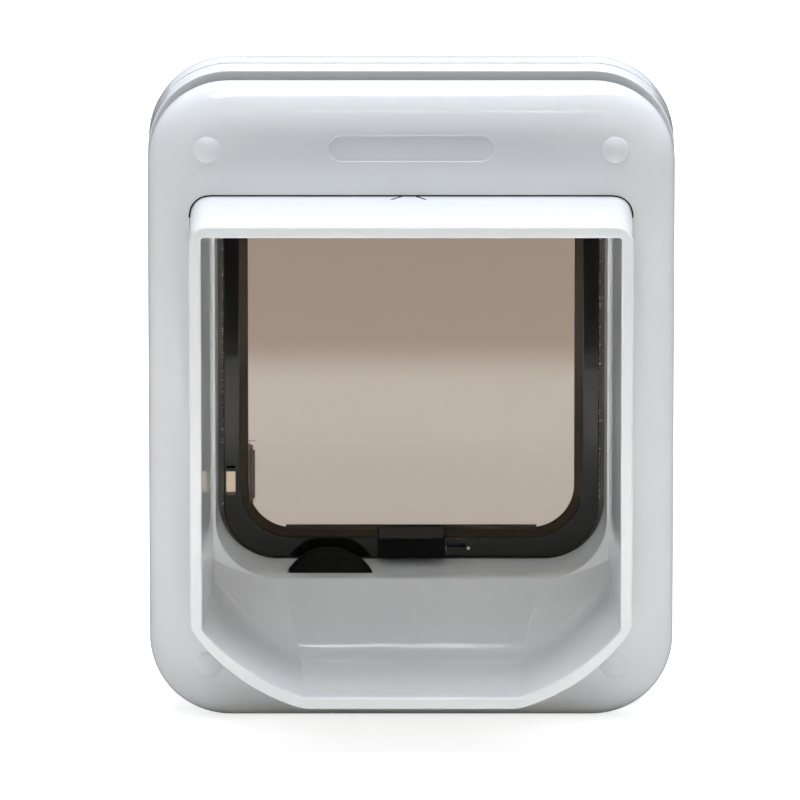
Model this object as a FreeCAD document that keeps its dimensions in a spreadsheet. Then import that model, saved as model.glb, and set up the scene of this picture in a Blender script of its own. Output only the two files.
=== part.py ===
# Cat flap with a self-lining hooded tunnel, in millimetres.
# +Z is up, -Y faces outdoors (the hood), +Y faces indoors (the battery housing).
# The origin is under the middle of the whole product, on the surface it stands on.
import FreeCAD, Part
import math
import os
import Sketcher

vec = FreeCAD.Vector
doc = FreeCAD.newDocument("cat_flap")
sheet = doc.addObject("Spreadsheet::Sheet", "sizes")

# Driving dimensions
SIZES = {
    # outdoor frame
    "frame_width": 225, "frame_height": 280, "frame_corner": 35, "frame_depth": 16,
    "frame_bulge": 20, "frame_edge": 2, "frame_wall": 2.5,
    "recess_length": 70.5, "recess_tall": 11.4, "recess_depth": 0.8, "recess_drop": 27,
    "recess_floor": 1.2, "recess_margin": 1.5, "opening_gap": 0.6, "opening_lip": 2,
    # long fixing screws and their caps
    "fixing_inset": 25.5, "fixing_drop": 27.6, "fixing_low": 25.4,
    "screw_shank": 4.8, "screw_head": 9, "screw_head_tall": 3, "screw_seat": 6, "screw_bite": 8,
    "boss_wall": 2.2, "hole_slack": 0.2, "cap_width": 11.6, "cap_dome": 1.8, "cap_plug": 2.4,
    # door space and housing
    "door_gap": 10, "front_depth": 13, "rear_depth": 31, "housing_rise": 2,
    "housing_bulge": 14, "housing_edge": 9, "housing_wall": 2.5,
    # tunnel and hood
    "hood_reach": 52, "frame_side": 18.3, "frame_head": 48, "tunnel_bottom": 20.6,
    "tunnel_corner": 8, "chamfer_rise": 35.8, "chamfer_run": 48.4, "chamfer_swell": 5.5,
    "rim_wall": 5.2, "rim_round": 2, "mouth_round": 3.8, "mouth_sliver": 0.4,
    "back_step": 9.2, "back_drop": 8.5, "fold_drop": 4.2,
    "foot_depth": 26, "foot_rise": 9.9, "foot_step": 38, "apex_depth": 10, "apex_drop": 2.4,
    "apex_step": 33, "apex_swell": 1, "shoulder_rise": 4.6, "shoulder_swell": 1.6,
    "plate_low": 34.8, "plate_rise": 3, "plate_swell": 3.5,
    "throat_depth": 14, "throat_step": 2, "sill_rise": 43.3, "throat_flare": 1,
    "throat_corner": 26, "throat_drop": 0.5, "throat_round": 8, "shell_wall": 2.5,
    "flange_reach": 4, "flange_fit": 0.2, "coil_width": 3.2, "coil_depth": 18, "coil_back": 2,
    "coil_slack": 0.5, "void_step": 1.8,
    # flap holder, flap and hinge
    "holder_depth": 7, "holder_wall": 13, "holder_foot": 17, "holder_head": 14,
    "crown_gap": 0.8, "holder_round": 1.5, "flap_gap": 0.3, "flap_depth": 6, "flap_inset": 0.5,
    "brush_thick": 1.9, "brush_depth": 4, "brush_drop": 17,
    "axis_drop": 2, "flap_crown": 3.2, "hinge_pin": 3, "pin_slack": 0.05, "pin_seat": 3.5,
    "pin_reach": 4, "ring_side": 10.7, "ring_foot": 13, "ring_head": 10, "ring_round": 1,
    "window_corner": 19, "window_crown_corner": 4.75,
    "window_thick": 2.3, "window_lip": 1.5, "window_slack": 0.2, "window_front": 2,
    "slot_wide": 3.9, "slot_tall": 10.6, "slot_rise": 33.4, "slot_edge": 1.2,
    "knuckle_wide": 3, "knuckle_tall": 26.8, "knuckle_rise": 37.9,
    "block_wide": 29, "block_rise": 2.4, "block_face": 8.5, "block_slope": 3.6, "block_out": 9,
    "block_round": 0.8,
    "magnet_wide": 20, "magnet_tall": 4, "magnet_deep": 5, "magnet_drop": 1,
    "striker_wide": 8, "striker_tall": 7.4, "striker_thick": 1.2, "striker_low": 1,
    # lock
    "lock_side": 34.95, "lock_drop": 12.9, "cam_radius": 20.4, "cam_thick": 5, "cam_setback": 4.5,
    "rear_cam_thick": 4, "rear_cam_gap": 4, "rear_cam_trim": 2, "cam_slack": 0.5, "cam_hub": 2.5,
    "cam_step": 120, "lock_shaft": 6,
    "shaft_tail": 2, "knob_width": 22, "knob_depth": 8, "knob_gap": 0.4, "knob_plate": 3.4,
    "grip_thick": 5, "grip_length": 19.8,
    "detent_thick": 0.6, "detent_gap": 4, "detent_wide": 5,
    # electronics, latch and batteries
    "latch_side": 19.4, "bolt_width": 5, "bolt_gap": 2.2, "bolt_slack": 0.3, "bolt_drop": 0.6,
    "bolt_length": 20, "solenoid_wide": 15, "solenoid_tall": 22, "bracket_depth": 6,
    "sleeve_gap": 0.2,
    "passage_step": 1, "passage_round": 3, "sleeve_wall": 2,
    "board_wide": 62, "board_tall": 34, "board_thick": 1.6, "board_inset": 48.5, "board_low": 14,
    "board_back": 5, "post_width": 5, "post_spread": 24, "chip_wide": 12, "chip_thick": 1.4,
    "switch_wide": 6, "switch_tall": 2.4, "button_width": 8, "button_step": 12,
    "button_travel": 1, "button_proud": 1.8, "button_rim": 1.4, "button_slack": 0.1,
    "panel_high": 31,
    "light_width": 5, "light_step": 4, "light_proud": 0.6, "stem_slack": 0.3,
    "cell_width": 14.5, "cell_length": 50.5, "cell_gap": 0.4, "tray_wall": 1.6,
    "contact_room": 4.5, "contact_inset": 2, "contact_thick": 0.5, "contact_wire": 0.7,
    "contact_turns": 3,
    "cover_half": 72, "cover_front": 10, "cover_rise": 10, "cover_gap": 0.35,
    "case_inset": 10, "case_drop": 91, "case_low": 100,
    "case_screw": 3, "case_screw_head": 5.6, "case_head_tall": 1.6, "case_bite": 10,
}
for number, (alias, value) in enumerate(SIZES.items(), start=1):
    sheet.set(f"A{number}", alias)
    sheet.set(f"B{number}", str(value))
    sheet.setAlias(f"B{number}", alias)
doc.recompute()


def read(alias):
    """The value that the sheet holds for one driving dimension."""
    return float(getattr(sheet, alias))


# Places that follow from the driving dimensions, kept in the sheet for the expressions
DERIVED = {
    "housing_height": "=frame_height + housing_rise",
    "frame_top": "=frame_height + housing_rise / 2",
    "recess_centre": "=frame_top - recess_drop",
    "fixing_reach": "=frame_width / 2 - fixing_inset",
    "fixing_high": "=frame_top - fixing_drop",
    "tunnel_half": "=frame_width / 2 - frame_side",
    "tunnel_top": "=frame_top - frame_head",
    "chamfer_base": "=tunnel_half - chamfer_run",
    "back_half": "=tunnel_half - back_step",
    "back_top": "=tunnel_top - back_drop",
    "throat_sill": "=tunnel_bottom + sill_rise",
    "chamfer_side": "=tunnel_bottom + chamfer_rise",
    "fold_high": "=throat_sill - fold_drop",
    "foot_high": "=tunnel_bottom + foot_rise",
    "apex_high": "=throat_sill - apex_drop",
    "shoulder_high": "=throat_sill + shoulder_rise",
    "plate_side": "=tunnel_bottom + plate_low",
    "slot_high": "=throat_sill + slot_rise",
    "knuckle_high": "=throat_sill + knuckle_rise",
    "block_low": "=throat_sill + block_rise",
    "block_high": "=block_low + block_face",
    "block_peak": "=block_high + block_slope",
    "lock_high": "=throat_sill - lock_drop",
    "foot_half": "=back_half - foot_step",
    "apex_half": "=back_half - apex_step",
    "throat_half": "=back_half - throat_step",
    "throat_top": "=back_top - throat_drop",
    "void_half": "=chamfer_base - void_step",
    "axis_high": "=throat_top - axis_drop",
    "brush_top": "=axis_high - brush_drop",
    "passage_half": "=throat_half + passage_step",
    "passage_corner": "=throat_corner + passage_step",
    "board_side": "=frame_width / 2 - board_inset",
    "button_side": "=board_side + button_step",
    "light_side": "=board_side - light_step",
    "case_side": "=frame_width / 2 - case_inset",
    "case_high": "=frame_top - case_drop",
    "door_plane": "=(hood_reach + frame_depth - door_gap - front_depth - rear_depth"
                  " - knob_gap - knob_depth) / 2",
    "hood_front": "=door_plane - frame_depth - hood_reach",
    "frame_front": "=door_plane - frame_depth",
    "housing_plane": "=door_plane + door_gap",
    "seam_plane": "=door_plane + door_gap + front_depth",
    "housing_back": "=door_plane + door_gap + front_depth + rear_depth",
    "inner_back": "=door_plane + door_gap + front_depth + rear_depth - housing_wall",
    "flange_plane": "=door_plane + door_gap + housing_wall",
    "throat_plane": "=door_plane + throat_depth",
    "holder_plane": "=door_plane + throat_depth + housing_wall",
    "holder_back": "=holder_plane + holder_depth",
    "flap_front": "=holder_plane + flap_inset",
    "flap_middle": "=holder_plane + flap_inset + flap_depth / 2",
    "ring_half": "=throat_half - brush_thick - flap_gap",
    "ring_low": "=throat_sill + flap_gap",
    "ring_corner": "=throat_corner - brush_thick - flap_gap",
    "window_half": "=ring_half - ring_side",
    "window_low": "=ring_low + ring_foot",
    "window_high": "=axis_high + flap_crown - ring_head",
    "holder_low": "=throat_sill - brush_thick",
    "holder_high": "=axis_high + flap_crown + crown_gap",
    "cam_plane": "=door_plane + cam_setback",
    "rear_cam_plane": "=holder_back + rear_cam_gap",
    "detent_length": "=inner_back - rear_cam_plane - rear_cam_thick - detent_gap",
    "bolt_plane": "=flap_front + flap_depth + bolt_gap + bolt_width / 2",
    "bolt_foot": "=holder_low - bolt_drop - bolt_length",
    "tray_low": "=holder_high + sleeve_wall",
    "cover_low": "=tray_low + cover_rise",
    "tray_deep": "=cell_width + 2 * cell_gap + tray_wall",
    "board_plane": "=inner_back - board_back - board_thick",
}
for number, (alias, formula) in enumerate(DERIVED.items(), start=len(SIZES) + 2):
    sheet.set(f"A{number}", alias)
    sheet.set(f"B{number}", formula)
    sheet.setAlias(f"B{number}", alias)
    doc.recompute()


# How far a cutting tool runs past the face it opens, and the reach of a face test
PAST = 1
TOUCH = 0.01


# Helpers for bound features
PROPERTY_X, PROPERTY_Y, PROPERTY_Z = "Placement.Base.x", "Placement.Base.y", "Placement.Base.z"


def with_sheet(formula):
    """The formula with each alias in it pointed at the sheet."""
    words = []
    word = ""
    for letter in formula + " ":
        if letter.isalnum() or letter == "_":
            word += letter
            continue
        known = word in SIZES or word in DERIVED
        words.append("sizes." + word if known else word)
        words.append(letter)
        word = ""
    return "".join(words).strip()


def bind(item, prop, formula):
    item.setExpression(prop, with_sheet(str(formula)))


def value_of(formula):
    """The plain number that a formula of sheet aliases gives now."""
    return float(sheet.evalExpression(str(formula)))


def place(item, x=None, y=None, z=None):
    for prop, formula in ((PROPERTY_X, x), (PROPERTY_Y, y), (PROPERTY_Z, z)):
        if formula is not None:
            bind(item, prop, formula)


def box(name, x, y, z, wide, deep, tall):
    """A block centred on x, from y back and from z up."""
    item = doc.addObject("Part::Box", name)
    bind(item, "Length", wide)
    bind(item, "Width", deep)
    bind(item, "Height", tall)
    place(item, f"({x}) - ({wide}) / 2", y, z)
    return item


TURN = {
    "up": FreeCAD.Rotation(),
    "back": FreeCAD.Rotation(vec(1, 0, 0), -90),
    "right": FreeCAD.Rotation(vec(0, 1, 0), 90),
}


def rod(name, x, y, z, width, length, way="up"):
    """A round bar that starts at x, y, z and runs up, back or right."""
    item = doc.addObject("Part::Cylinder", name)
    item.Placement = FreeCAD.Placement(vec(0, 0, 0), TURN[way])
    bind(item, "Radius", f"({width}) / 2")
    bind(item, "Height", length)
    place(item, x, y, z)
    return item


def cut(name, base, *tools):
    tool = tools[0]
    if len(tools) > 1:
        tool = doc.addObject("Part::MultiFuse", name + "_tools")
        tool.Shapes = list(tools)
    item = doc.addObject("Part::Cut", name)
    item.Base = base
    item.Tool = tool
    return item


def fuse(name, *items):
    item = doc.addObject("Part::MultiFuse", name)
    item.Shapes = list(items)
    item.Refine = True
    return item


def group(name, *items):
    """Several separate solids of one kind, kept together."""
    item = doc.addObject("Part::Compound", name)
    item.Links = list(items)
    return item


def solid(name, shape):
    item = doc.addObject("Part::Feature", name)
    item.Shape = shape
    return item


parts = {}


def keep(name, item):
    item.Label = name
    parts[name] = item
    return item


# Sketch helpers for plates that lie across the depth
def origin_plane(body, role):
    for feature in body.Origin.OriginFeatures:
        if feature.Role == role:
            return feature
    raise ValueError(role)


def new_sketch(body, name, role="XZ_Plane"):
    sketch = body.newObject("Sketcher::SketchObject", name)
    sketch.AttachmentSupport = [(origin_plane(body, role), "")]
    sketch.MapMode = "FlatFace"
    return sketch


def rounded_loop(sketch, half, low, high, low_round, high_round):
    """A closed outline, even about the middle, with its own bottom and top corner radii."""
    h, b, t = value_of(half), value_of(low), value_of(high)
    r, q = value_of(low_round), value_of(high_round)
    first = sketch.GeometryCount
    line = Part.LineSegment
    arc = Part.ArcOfCircle

    def corner(x, z, radius, start):
        circle = Part.Circle(vec(x, z, 0), vec(0, 0, 1), radius)
        return arc(circle, math.radians(start), math.radians(start + 90))

    sketch.addGeometry([
        line(vec(-h + r, b, 0), vec(h - r, b, 0)),
        corner(h - r, b + r, r, 270),
        line(vec(h, b + r, 0), vec(h, t - q, 0)),
        corner(h - q, t - q, q, 0),
        line(vec(h - q, t, 0), vec(-h + q, t, 0)),
        corner(-h + q, t - q, q, 90),
        line(vec(-h, t - q, 0), vec(-h, b + r, 0)),
        corner(-h + r, b + r, r, 180),
    ], False)
    bottom, side, top, other = first, first + 2, first + 4, first + 6
    rule = Sketcher.Constraint
    rules = [rule("Tangent", first + i, 2, first + (i + 1) % 8, 1) for i in range(8)]
    rules += [rule("Horizontal", bottom), rule("Horizontal", top)]
    rules += [rule("Vertical", side), rule("Vertical", other)]
    rules += [rule("Equal", first + 1, first + 7), rule("Equal", first + 3, first + 5)]
    sketch.addConstraint(rules)
    measured = (
        (rule("Radius", first + 1, r), low_round), (rule("Radius", first + 3, q), high_round),
        (rule("DistanceX", -1, 1, side, 1, h), half), (rule("DistanceX", other, 1, -1, 1, h), half),
        (rule("DistanceY", -1, 1, bottom, 1, b), low), (rule("DistanceY", -1, 1, top, 1, t), high),
    )
    for constraint, formula in measured:
        number = sketch.addConstraint(constraint)
        bind(sketch, f"Constraints[{number}]", formula)


def plate(name, front, depth, *loops):
    """A padded outline; the first loop is its edge and the others are its openings."""
    body = doc.addObject("PartDesign::Body", name)
    sketch = new_sketch(body, name + "_outline")
    for loop in loops:
        rounded_loop(sketch, *loop)
    pad = body.newObject("PartDesign::Pad", name + "_pad")
    pad.Profile = sketch
    bind(pad, "Length", depth)
    pad.Reversed = True
    place(body, y=front)
    return body


# Pillow-shaped covers: one edge profile, drawn out along the sides and turned at the corners
def edge_profile(corner, depth, bulge, edge):
    """Half section in the XY plane: x runs out from the corner's axis, y from seat to crest."""
    rim = vec(corner, edge, 0)
    crest = vec(corner - bulge, depth, 0)
    centre = vec(corner - bulge, edge, 0)
    long_end, short_end = (rim, crest) if bulge >= depth - edge else (crest, rim)
    curve = Part.ArcOfEllipse(Part.Ellipse(long_end, short_end, centre), 0, math.pi / 2)
    edges = [
        Part.makeLine(vec(0, 0, 0), vec(corner, 0, 0)),
        Part.makeLine(vec(corner, 0, 0), rim),
        curve.toShape(),
        Part.makeLine(crest, vec(0, depth, 0)),
        Part.makeLine(vec(0, depth, 0), vec(0, 0, 0)),
    ]
    return Part.Face(Part.Wire(Part.__sortEdges__(edges)))


def pillow(width, height, low, corner, depth, bulge, edge, toward):
    """A soft-edged cover on the XZ plane; toward is -1 for a crest outdoors, 1 for indoors."""
    profile = edge_profile(corner, depth, bulge, edge)
    side = width / 2 - corner
    up = height / 2 - corner
    pieces = [Part.makeBox(2 * side, depth, 2 * up, vec(-side, 0, -up))]
    for index in range(4):
        turned = profile.copy()
        turned.rotate(vec(0, 0, 0), vec(0, 1, 0), 90 * index)
        run = up if index % 2 == 0 else side
        out = (vec(side, 0, 0), vec(0, 0, -up), vec(-side, 0, 0), vec(0, 0, up))[index]
        along = (vec(0, 0, 1), vec(1, 0, 0), vec(0, 0, -1), vec(-1, 0, 0))[index]
        turned.translate(out - along * run)
        pieces.append(turned.extrude(along * (2 * run)))
        quarter = profile.revolve(vec(0, 0, 0), vec(0, 1, 0), -90)
        quarter.rotate(vec(0, 0, 0), vec(0, 1, 0), 90 * index)
        spot = ((side, up), (side, -up), (-side, -up), (-side, up))[index]
        quarter.translate(vec(spot[0], 0, spot[1]))
        pieces.append(quarter)
    shape = pieces[0].multiFuse(pieces[1:]).removeSplitter()
    if toward < 0:
        shape = shape.mirror(vec(0, 0, 0), vec(0, 1, 0))
    shape.translate(vec(0, 0, low + height / 2))
    return shape


# Outlines of the tunnel, shared by the hood, the frame's opening, the flange and the coil
def mirrored(point):
    return vec(-point.x, point.y, point.z)


def swollen(start, end, swell):
    """An arc from start to end whose middle stands out from the chord, down and sideways."""
    chord = (end - start).normalize()
    outward = vec(chord.z, 0, -chord.x)
    return (start + end) * 0.5 + outward * swell


def even_outline(points, bends):
    """A closed outline, even about x = 0, from its right half, bottom first.

    points are the corners from the bottom to the top; bends holds, for each stretch between
    two points, the middle point of its arc, or None where it is straight.
    """
    edges = [Part.makeLine(mirrored(points[0]), points[0])]
    for start, end, bend in zip(points, points[1:], bends):
        edges.append(stretch(start, end, bend))
    edges.append(Part.makeLine(points[-1], mirrored(points[-1])))
    backwards = list(zip(points, points[1:], bends))[::-1]
    for start, end, bend in backwards:
        edges.append(stretch(mirrored(end), mirrored(start), bend and mirrored(bend)))
    return Part.Wire(edges)


def stretch(start, end, bend):
    return Part.Arc(start, bend, end).toShape() if bend else Part.makeLine(start, end)


def corner_bend(x, z, y, radius, up):
    """The middle of a quarter round whose axis is at x, z."""
    reach = radius * math.sqrt(0.5)
    return vec(x + reach, y, z + reach * (1 if up else -1))


def tunnel_outline(y, grow=0.0):
    """The tunnel's outer outline at depth y, moved outwards by grow."""
    half, top = read("tunnel_half") + grow, read("tunnel_top") + grow
    low, turn = read("tunnel_bottom") - grow, read("tunnel_corner") + grow
    foot = vec(read("chamfer_base"), y, low)
    side = vec(half, y, read("chamfer_side"))
    points = [foot, side, vec(half, y, top - turn), vec(half - turn, y, top)]
    bends = [swollen(foot, side, read("chamfer_swell")), None,
             corner_bend(half - turn, top - turn, y, turn, True)]
    return even_outline(points, bends)


def throat_outline(y, half, low, top, low_turn, top_turn):
    """A rounded opening of the throat at depth y."""
    points = [vec(half - low_turn, y, low), vec(half, y, low + low_turn),
              vec(half, y, top - top_turn), vec(half - top_turn, y, top)]
    bends = [corner_bend(half - low_turn, low + low_turn, y, low_turn, False), None,
             corner_bend(half - top_turn, top - top_turn, y, top_turn, True)]
    return even_outline(points, bends)


def prism(wire, depth):
    return Part.Face(wire).extrude(vec(0, depth, 0))


def depth_rod(x, z, radius, start, end):
    """A round bar through the depth, from plane start to plane end."""
    return Part.makeCylinder(radius, end - start, vec(x, start, z), vec(0, 1, 0))


# Hood and tunnel: one moulding, hollow between its outer and inner skins
def mouth_section(y, half, top, floor_end, plate_end, wall_low, plate_bulge, ramp_bulge):
    """The inside of the hood at depth y, from the floor over the corner plate to the top."""
    turn = read("mouth_round")
    points = [floor_end, plate_end, wall_low, vec(half, y, top - turn), vec(half - turn, y, top)]
    bends = [swollen(floor_end, plate_end, ramp_bulge) if ramp_bulge else None,
             swollen(plate_end, wall_low, plate_bulge) if plate_bulge else None,
             None, corner_bend(half - turn, top - turn, y, turn, True)]
    return even_outline(points, bends)


def hood_mouth():
    """The space in front of the flap: floor, corner plates and the ramp up to the fold."""
    front, fold = read("hood_front"), read("door_plane")
    rim_half, rim_top = read("tunnel_half") - read("rim_wall"), read("tunnel_top") - read("rim_wall")
    rim_low = read("tunnel_bottom") + read("rim_wall")
    back_half, back_top = read("back_half"), read("back_top")

    def between(y, at_front, at_fold):
        share = (fold - y) / (fold - front)
        return at_fold + (at_front - at_fold) * share

    def near(start, end):
        return start + (end - start).normalize() * read("mouth_sliver")

    sections = []
    foot_y, apex_y = fold - read("foot_depth"), fold - read("apex_depth")
    ramp = (read("fold_high") - read("foot_high")) / read("foot_depth")
    side = read("plate_side")
    for y, low, base, high in ((front, rim_low, read("chamfer_base"), side),
                               (foot_y, read("foot_high"), read("foot_half"),
                                side + read("plate_rise"))):
        half = between(y, rim_half, back_half)
        floor_end = vec(base, y, low)
        wall_low = vec(half, y, high)
        sections.append(mouth_section(y, half, between(y, rim_top, back_top), floor_end,
                                      near(floor_end, wall_low), wall_low,
                                      read("plate_swell"), 0))
    apex_floor = vec(read("apex_half"), apex_y, read("fold_high") - ramp * read("apex_depth"))
    fold_floor = vec(back_half - read("throat_corner"), fold, read("fold_high"))
    for floor_end, high, swell in (
            (apex_floor, read("apex_high"), read("apex_swell")),
            (fold_floor, read("shoulder_high"), read("shoulder_swell"))):
        y = floor_end.y
        half = between(y, rim_half, back_half)
        wall_low = vec(half, y, high)
        sections.append(mouth_section(y, half, between(y, rim_top, back_top), floor_end,
                                      near(wall_low, floor_end), wall_low, 0, swell))
    return Part.makeLoft(sections, True, True)


def throat_hole(end):
    """The rounded passage from the fold to the flap, its sill sloped to shed rain."""
    fold, back = read("door_plane"), read("throat_plane")
    half, top = read("throat_half"), read("throat_top")
    turns = (read("throat_corner"), read("throat_round"))
    front_ring = throat_outline(fold, half + read("throat_flare"), read("fold_high"), top, *turns)
    back_ring = throat_outline(back, half, read("throat_sill"), top, *turns)
    return [Part.makeLoft([front_ring, back_ring], True, True), prism(back_ring, end - back)]


def tunnel_hood():
    front, back = read("hood_front"), read("holder_plane")
    shape = prism(tunnel_outline(front), back - front)
    rim = [edge for edge in shape.Edges if edge.BoundBox.YMax < front + TOUCH]
    shape = shape.makeFillet(read("rim_round"), rim)
    flange = prism(tunnel_outline(read("flange_plane"), read("flange_reach")),
                   back - read("flange_plane"))
    shape = shape.fuse(flange)
    wall = read("shell_wall")
    slot_from = read("door_plane") - read("coil_depth") - read("coil_back")
    slot_wide = read("coil_width") + read("coil_slack")
    slot = prism(tunnel_outline(slot_from, -wall), back - slot_from)
    slot = slot.cut(prism(tunnel_outline(slot_from, -wall - slot_wide), back - slot_from))
    low = read("tunnel_bottom") + wall
    ramp_y, ramp_z = read("door_plane") - read("foot_depth") + 2 * wall, read("foot_high")
    sill_z = read("fold_high") - wall
    side = [vec(0, ramp_y, low), vec(0, back, low), vec(0, back, sill_z),
            vec(0, read("door_plane"), sill_z), vec(0, ramp_y, ramp_z)]
    half = read("void_half")
    void = Part.Face(Part.makePolygon(side + side[:1])).extrude(vec(half, 0, 0))
    void = void.fuse(void.mirror(vec(0, 0, 0), vec(1, 0, 0)))
    ring_from = read("door_plane") + wall
    skin = throat_outline(ring_from, read("throat_half") + read("throat_flare") + wall, sill_z,
                          read("throat_top") + wall, read("throat_corner") + wall,
                          read("throat_round") + wall)
    ring_void = prism(tunnel_outline(ring_from, -wall), back - ring_from)
    ring_void = ring_void.cut(prism(skin, back - ring_from))
    cam_slot = depth_rod(-read("lock_side"), read("lock_high"),
                         read("cam_radius") + read("cam_slack"),
                         read("cam_plane") - read("cam_slack"),
                         read("cam_plane") + read("cam_thick") + read("cam_slack"))
    hollows = [hood_mouth()] + throat_hole(back) + [slot, void, ring_void, cam_slot]
    return shape.cut(hollows)


keep("tunnel_hood", solid("tunnel_hood", tunnel_hood()))


def antenna_coil():
    """The reading coil, wound in the hollow of the tunnel around the hood's throat."""
    start = read("door_plane") - read("coil_depth") - read("coil_back")
    inset = -read("shell_wall") - read("coil_slack") / 2
    outer = prism(tunnel_outline(start, inset), read("coil_depth"))
    return outer.cut(prism(tunnel_outline(start, inset - read("coil_width")), read("coil_depth")))


keep("antenna_coil", solid("antenna_coil", antenna_coil()))


# Outdoor frame: a soft-edged cover that slides over the tunnel, with four screw seats
FIXING_SPOTS = [("upper_left", -1, "fixing_high"), ("upper_right", 1, "fixing_high"),
                ("lower_left", -1, "fixing_low"), ("lower_right", 1, "fixing_low")]


def frame_cover(wall):
    """The frame's outer form, or its hollow when wall is not zero."""
    return pillow(read("frame_width") - 2 * wall, read("frame_height") - 2 * wall, wall,
                  read("frame_corner") - wall, read("frame_depth") - wall,
                  read("frame_bulge") - wall, read("frame_edge"), -1)


def exterior_frame():
    front, back = read("frame_front"), read("door_plane")
    seat = vec(0, back, 0)
    shape = frame_cover(0)
    shape = shape.cut(frame_cover(read("frame_wall")))
    shape.translate(seat)
    gap, lip = read("opening_gap"), read("opening_lip")
    depth = back - front
    inside = front + PAST
    collar = prism(tunnel_outline(inside, gap + lip), back - inside)
    opening = prism(tunnel_outline(front - PAST, gap), depth + 2 * PAST)
    boss = read("screw_head") / 2 + read("hole_slack") + read("boss_wall")
    spots = [(side * read("fixing_reach"), read(high)) for _, side, high in FIXING_SPOTS]
    bosses = [depth_rod(x, z, boss, inside, back) for x, z in spots]
    shape = shape.fuse([collar] + bosses)
    head = read("screw_head") / 2 + read("hole_slack")
    shank = read("screw_shank") / 2 + read("hole_slack")
    holes = [depth_rod(x, z, shank, front - PAST, back + PAST) for x, z in spots]
    holes += [depth_rod(x, z, head, front - PAST, front + read("screw_seat")) for x, z in spots]
    half = (read("recess_length") - read("recess_tall")) / 2
    radius = read("recess_tall") / 2
    centre = read("recess_centre")
    sunk = front + read("recess_depth")
    margin, thick = radius + read("recess_margin"), read("recess_floor")
    recess = [depth_rod(x, centre, radius, front - PAST, sunk) for x in (-half, half)]
    recess.append(Part.makeBox(2 * half, sunk - front + PAST, 2 * radius,
                               vec(-half, front - PAST, centre - radius)))
    floor = [depth_rod(x, centre, margin, inside, sunk + thick) for x in (-half, half)]
    floor.append(Part.makeBox(2 * half, sunk + thick - inside, 2 * margin,
                              vec(-half, inside, centre - margin)))
    return shape.fuse(floor).cut([opening] + holes + recess).removeSplitter()


keep("exterior_frame", solid("exterior_frame", exterior_frame()))

for spot, side, high in FIXING_SPOTS:
    cap = doc.addObject("PartDesign::Body", "cap_" + spot)
    outline = new_sketch(cap, "cap_outline_" + spot, "YZ_Plane")
    outer, dome = value_of("cap_width / 2"), read("cap_dome")
    stem, plug = value_of("(screw_head - hole_slack) / 2"), read("cap_plug")
    bulge = (outer ** 2 + dome ** 2) / (2 * dome)
    angle = math.asin(outer / bulge)
    dome_arc = Part.ArcOfCircle(Part.Circle(vec(bulge - dome, 0, 0), vec(0, 0, 1), bulge),
                                math.pi - angle, math.pi)
    line = Part.LineSegment
    outline.addGeometry([
        dome_arc, line(vec(-dome, 0, 0), vec(plug, 0, 0)), line(vec(plug, 0, 0), vec(plug, stem, 0)),
        line(vec(plug, stem, 0), vec(0, stem, 0)), line(vec(0, stem, 0), vec(0, outer, 0)),
    ], False)
    rule = Sketcher.Constraint
    outline.addConstraint([
        rule("Coincident", 0, 2, 1, 1), rule("Coincident", 1, 2, 2, 1),
        rule("Coincident", 2, 2, 3, 1), rule("Coincident", 3, 2, 4, 1),
        rule("Coincident", 4, 2, 0, 1), rule("PointOnObject", 1, 1, -1),
        rule("Horizontal", 1), rule("Vertical", 2), rule("Horizontal", 3),
        rule("PointOnObject", 4, 1, -2), rule("PointOnObject", 4, 2, -2),
        rule("PointOnObject", 0, 3, -1),
    ])
    for measure, formula in (
            (rule("DistanceX", 1, 1, -1, 1, dome), "cap_dome"),
            (rule("DistanceX", -1, 1, 2, 2, plug), "cap_plug"),
            (rule("DistanceY", -1, 1, 2, 2, stem), "(screw_head - hole_slack) / 2"),
            (rule("DistanceY", -1, 1, 4, 2, outer), "cap_width / 2")):
        index = outline.addConstraint(measure)
        bind(outline, f"Constraints[{index}]", formula)
    turned = cap.newObject("PartDesign::Revolution", "cap_turn_" + spot)
    turned.Profile = outline
    turned.ReferenceAxis = (outline, ["H_Axis"])
    turned.Angle = 360
    place(cap, x=f"{side} * fixing_reach", y="frame_front", z=high)
    keep("screw_cap_" + spot, cap)


def cylinder_head_screw(name, x, z, head_front, head, head_tall, shank, length):
    """A screw along the depth: head first, shank behind it."""
    top = rod(name + "_head", x, head_front, z, head, head_tall, "back")
    stem = rod(name + "_shank", x, f"{head_front} + {head_tall}", z, shank, length, "back")
    return fuse(name, top, stem)


frame_screws = []
for spot, side, high in FIXING_SPOTS:
    frame_screws.append(cylinder_head_screw(
        "fixing_" + spot, f"{side} * fixing_reach", high,
        "(frame_front + screw_seat - screw_head_tall)", "screw_head", "screw_head_tall",
        "screw_shank", "housing_plane + screw_bite - frame_front - screw_seat"))
keep("frame_screws", group("frame_screws", *frame_screws))


# Indoor housing: a front tray that clamps the door, and a soft-edged rear cover
CASE_SPOTS = [(side, high) for side in (-1, 1) for high in ("case_high", "case_low")]

front_case = plate("housing_front", "housing_plane", "front_depth",
                   ("frame_width / 2", 0, "housing_height", "frame_corner", "frame_corner"))
hollow_sketch = new_sketch(front_case, "housing_hollow_outline")
rounded_loop(hollow_sketch, "frame_width / 2 - housing_wall", "housing_wall",
             "housing_height - housing_wall", "frame_corner - housing_wall",
             "frame_corner - housing_wall")
bind(hollow_sketch, "AttachmentOffset.Base.z", "-housing_wall")
hollow = front_case.newObject("PartDesign::Pocket", "housing_hollow")
hollow.Profile = hollow_sketch
hollow.Type = 1
hollow.Reversed = False
doc.recompute()


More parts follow.
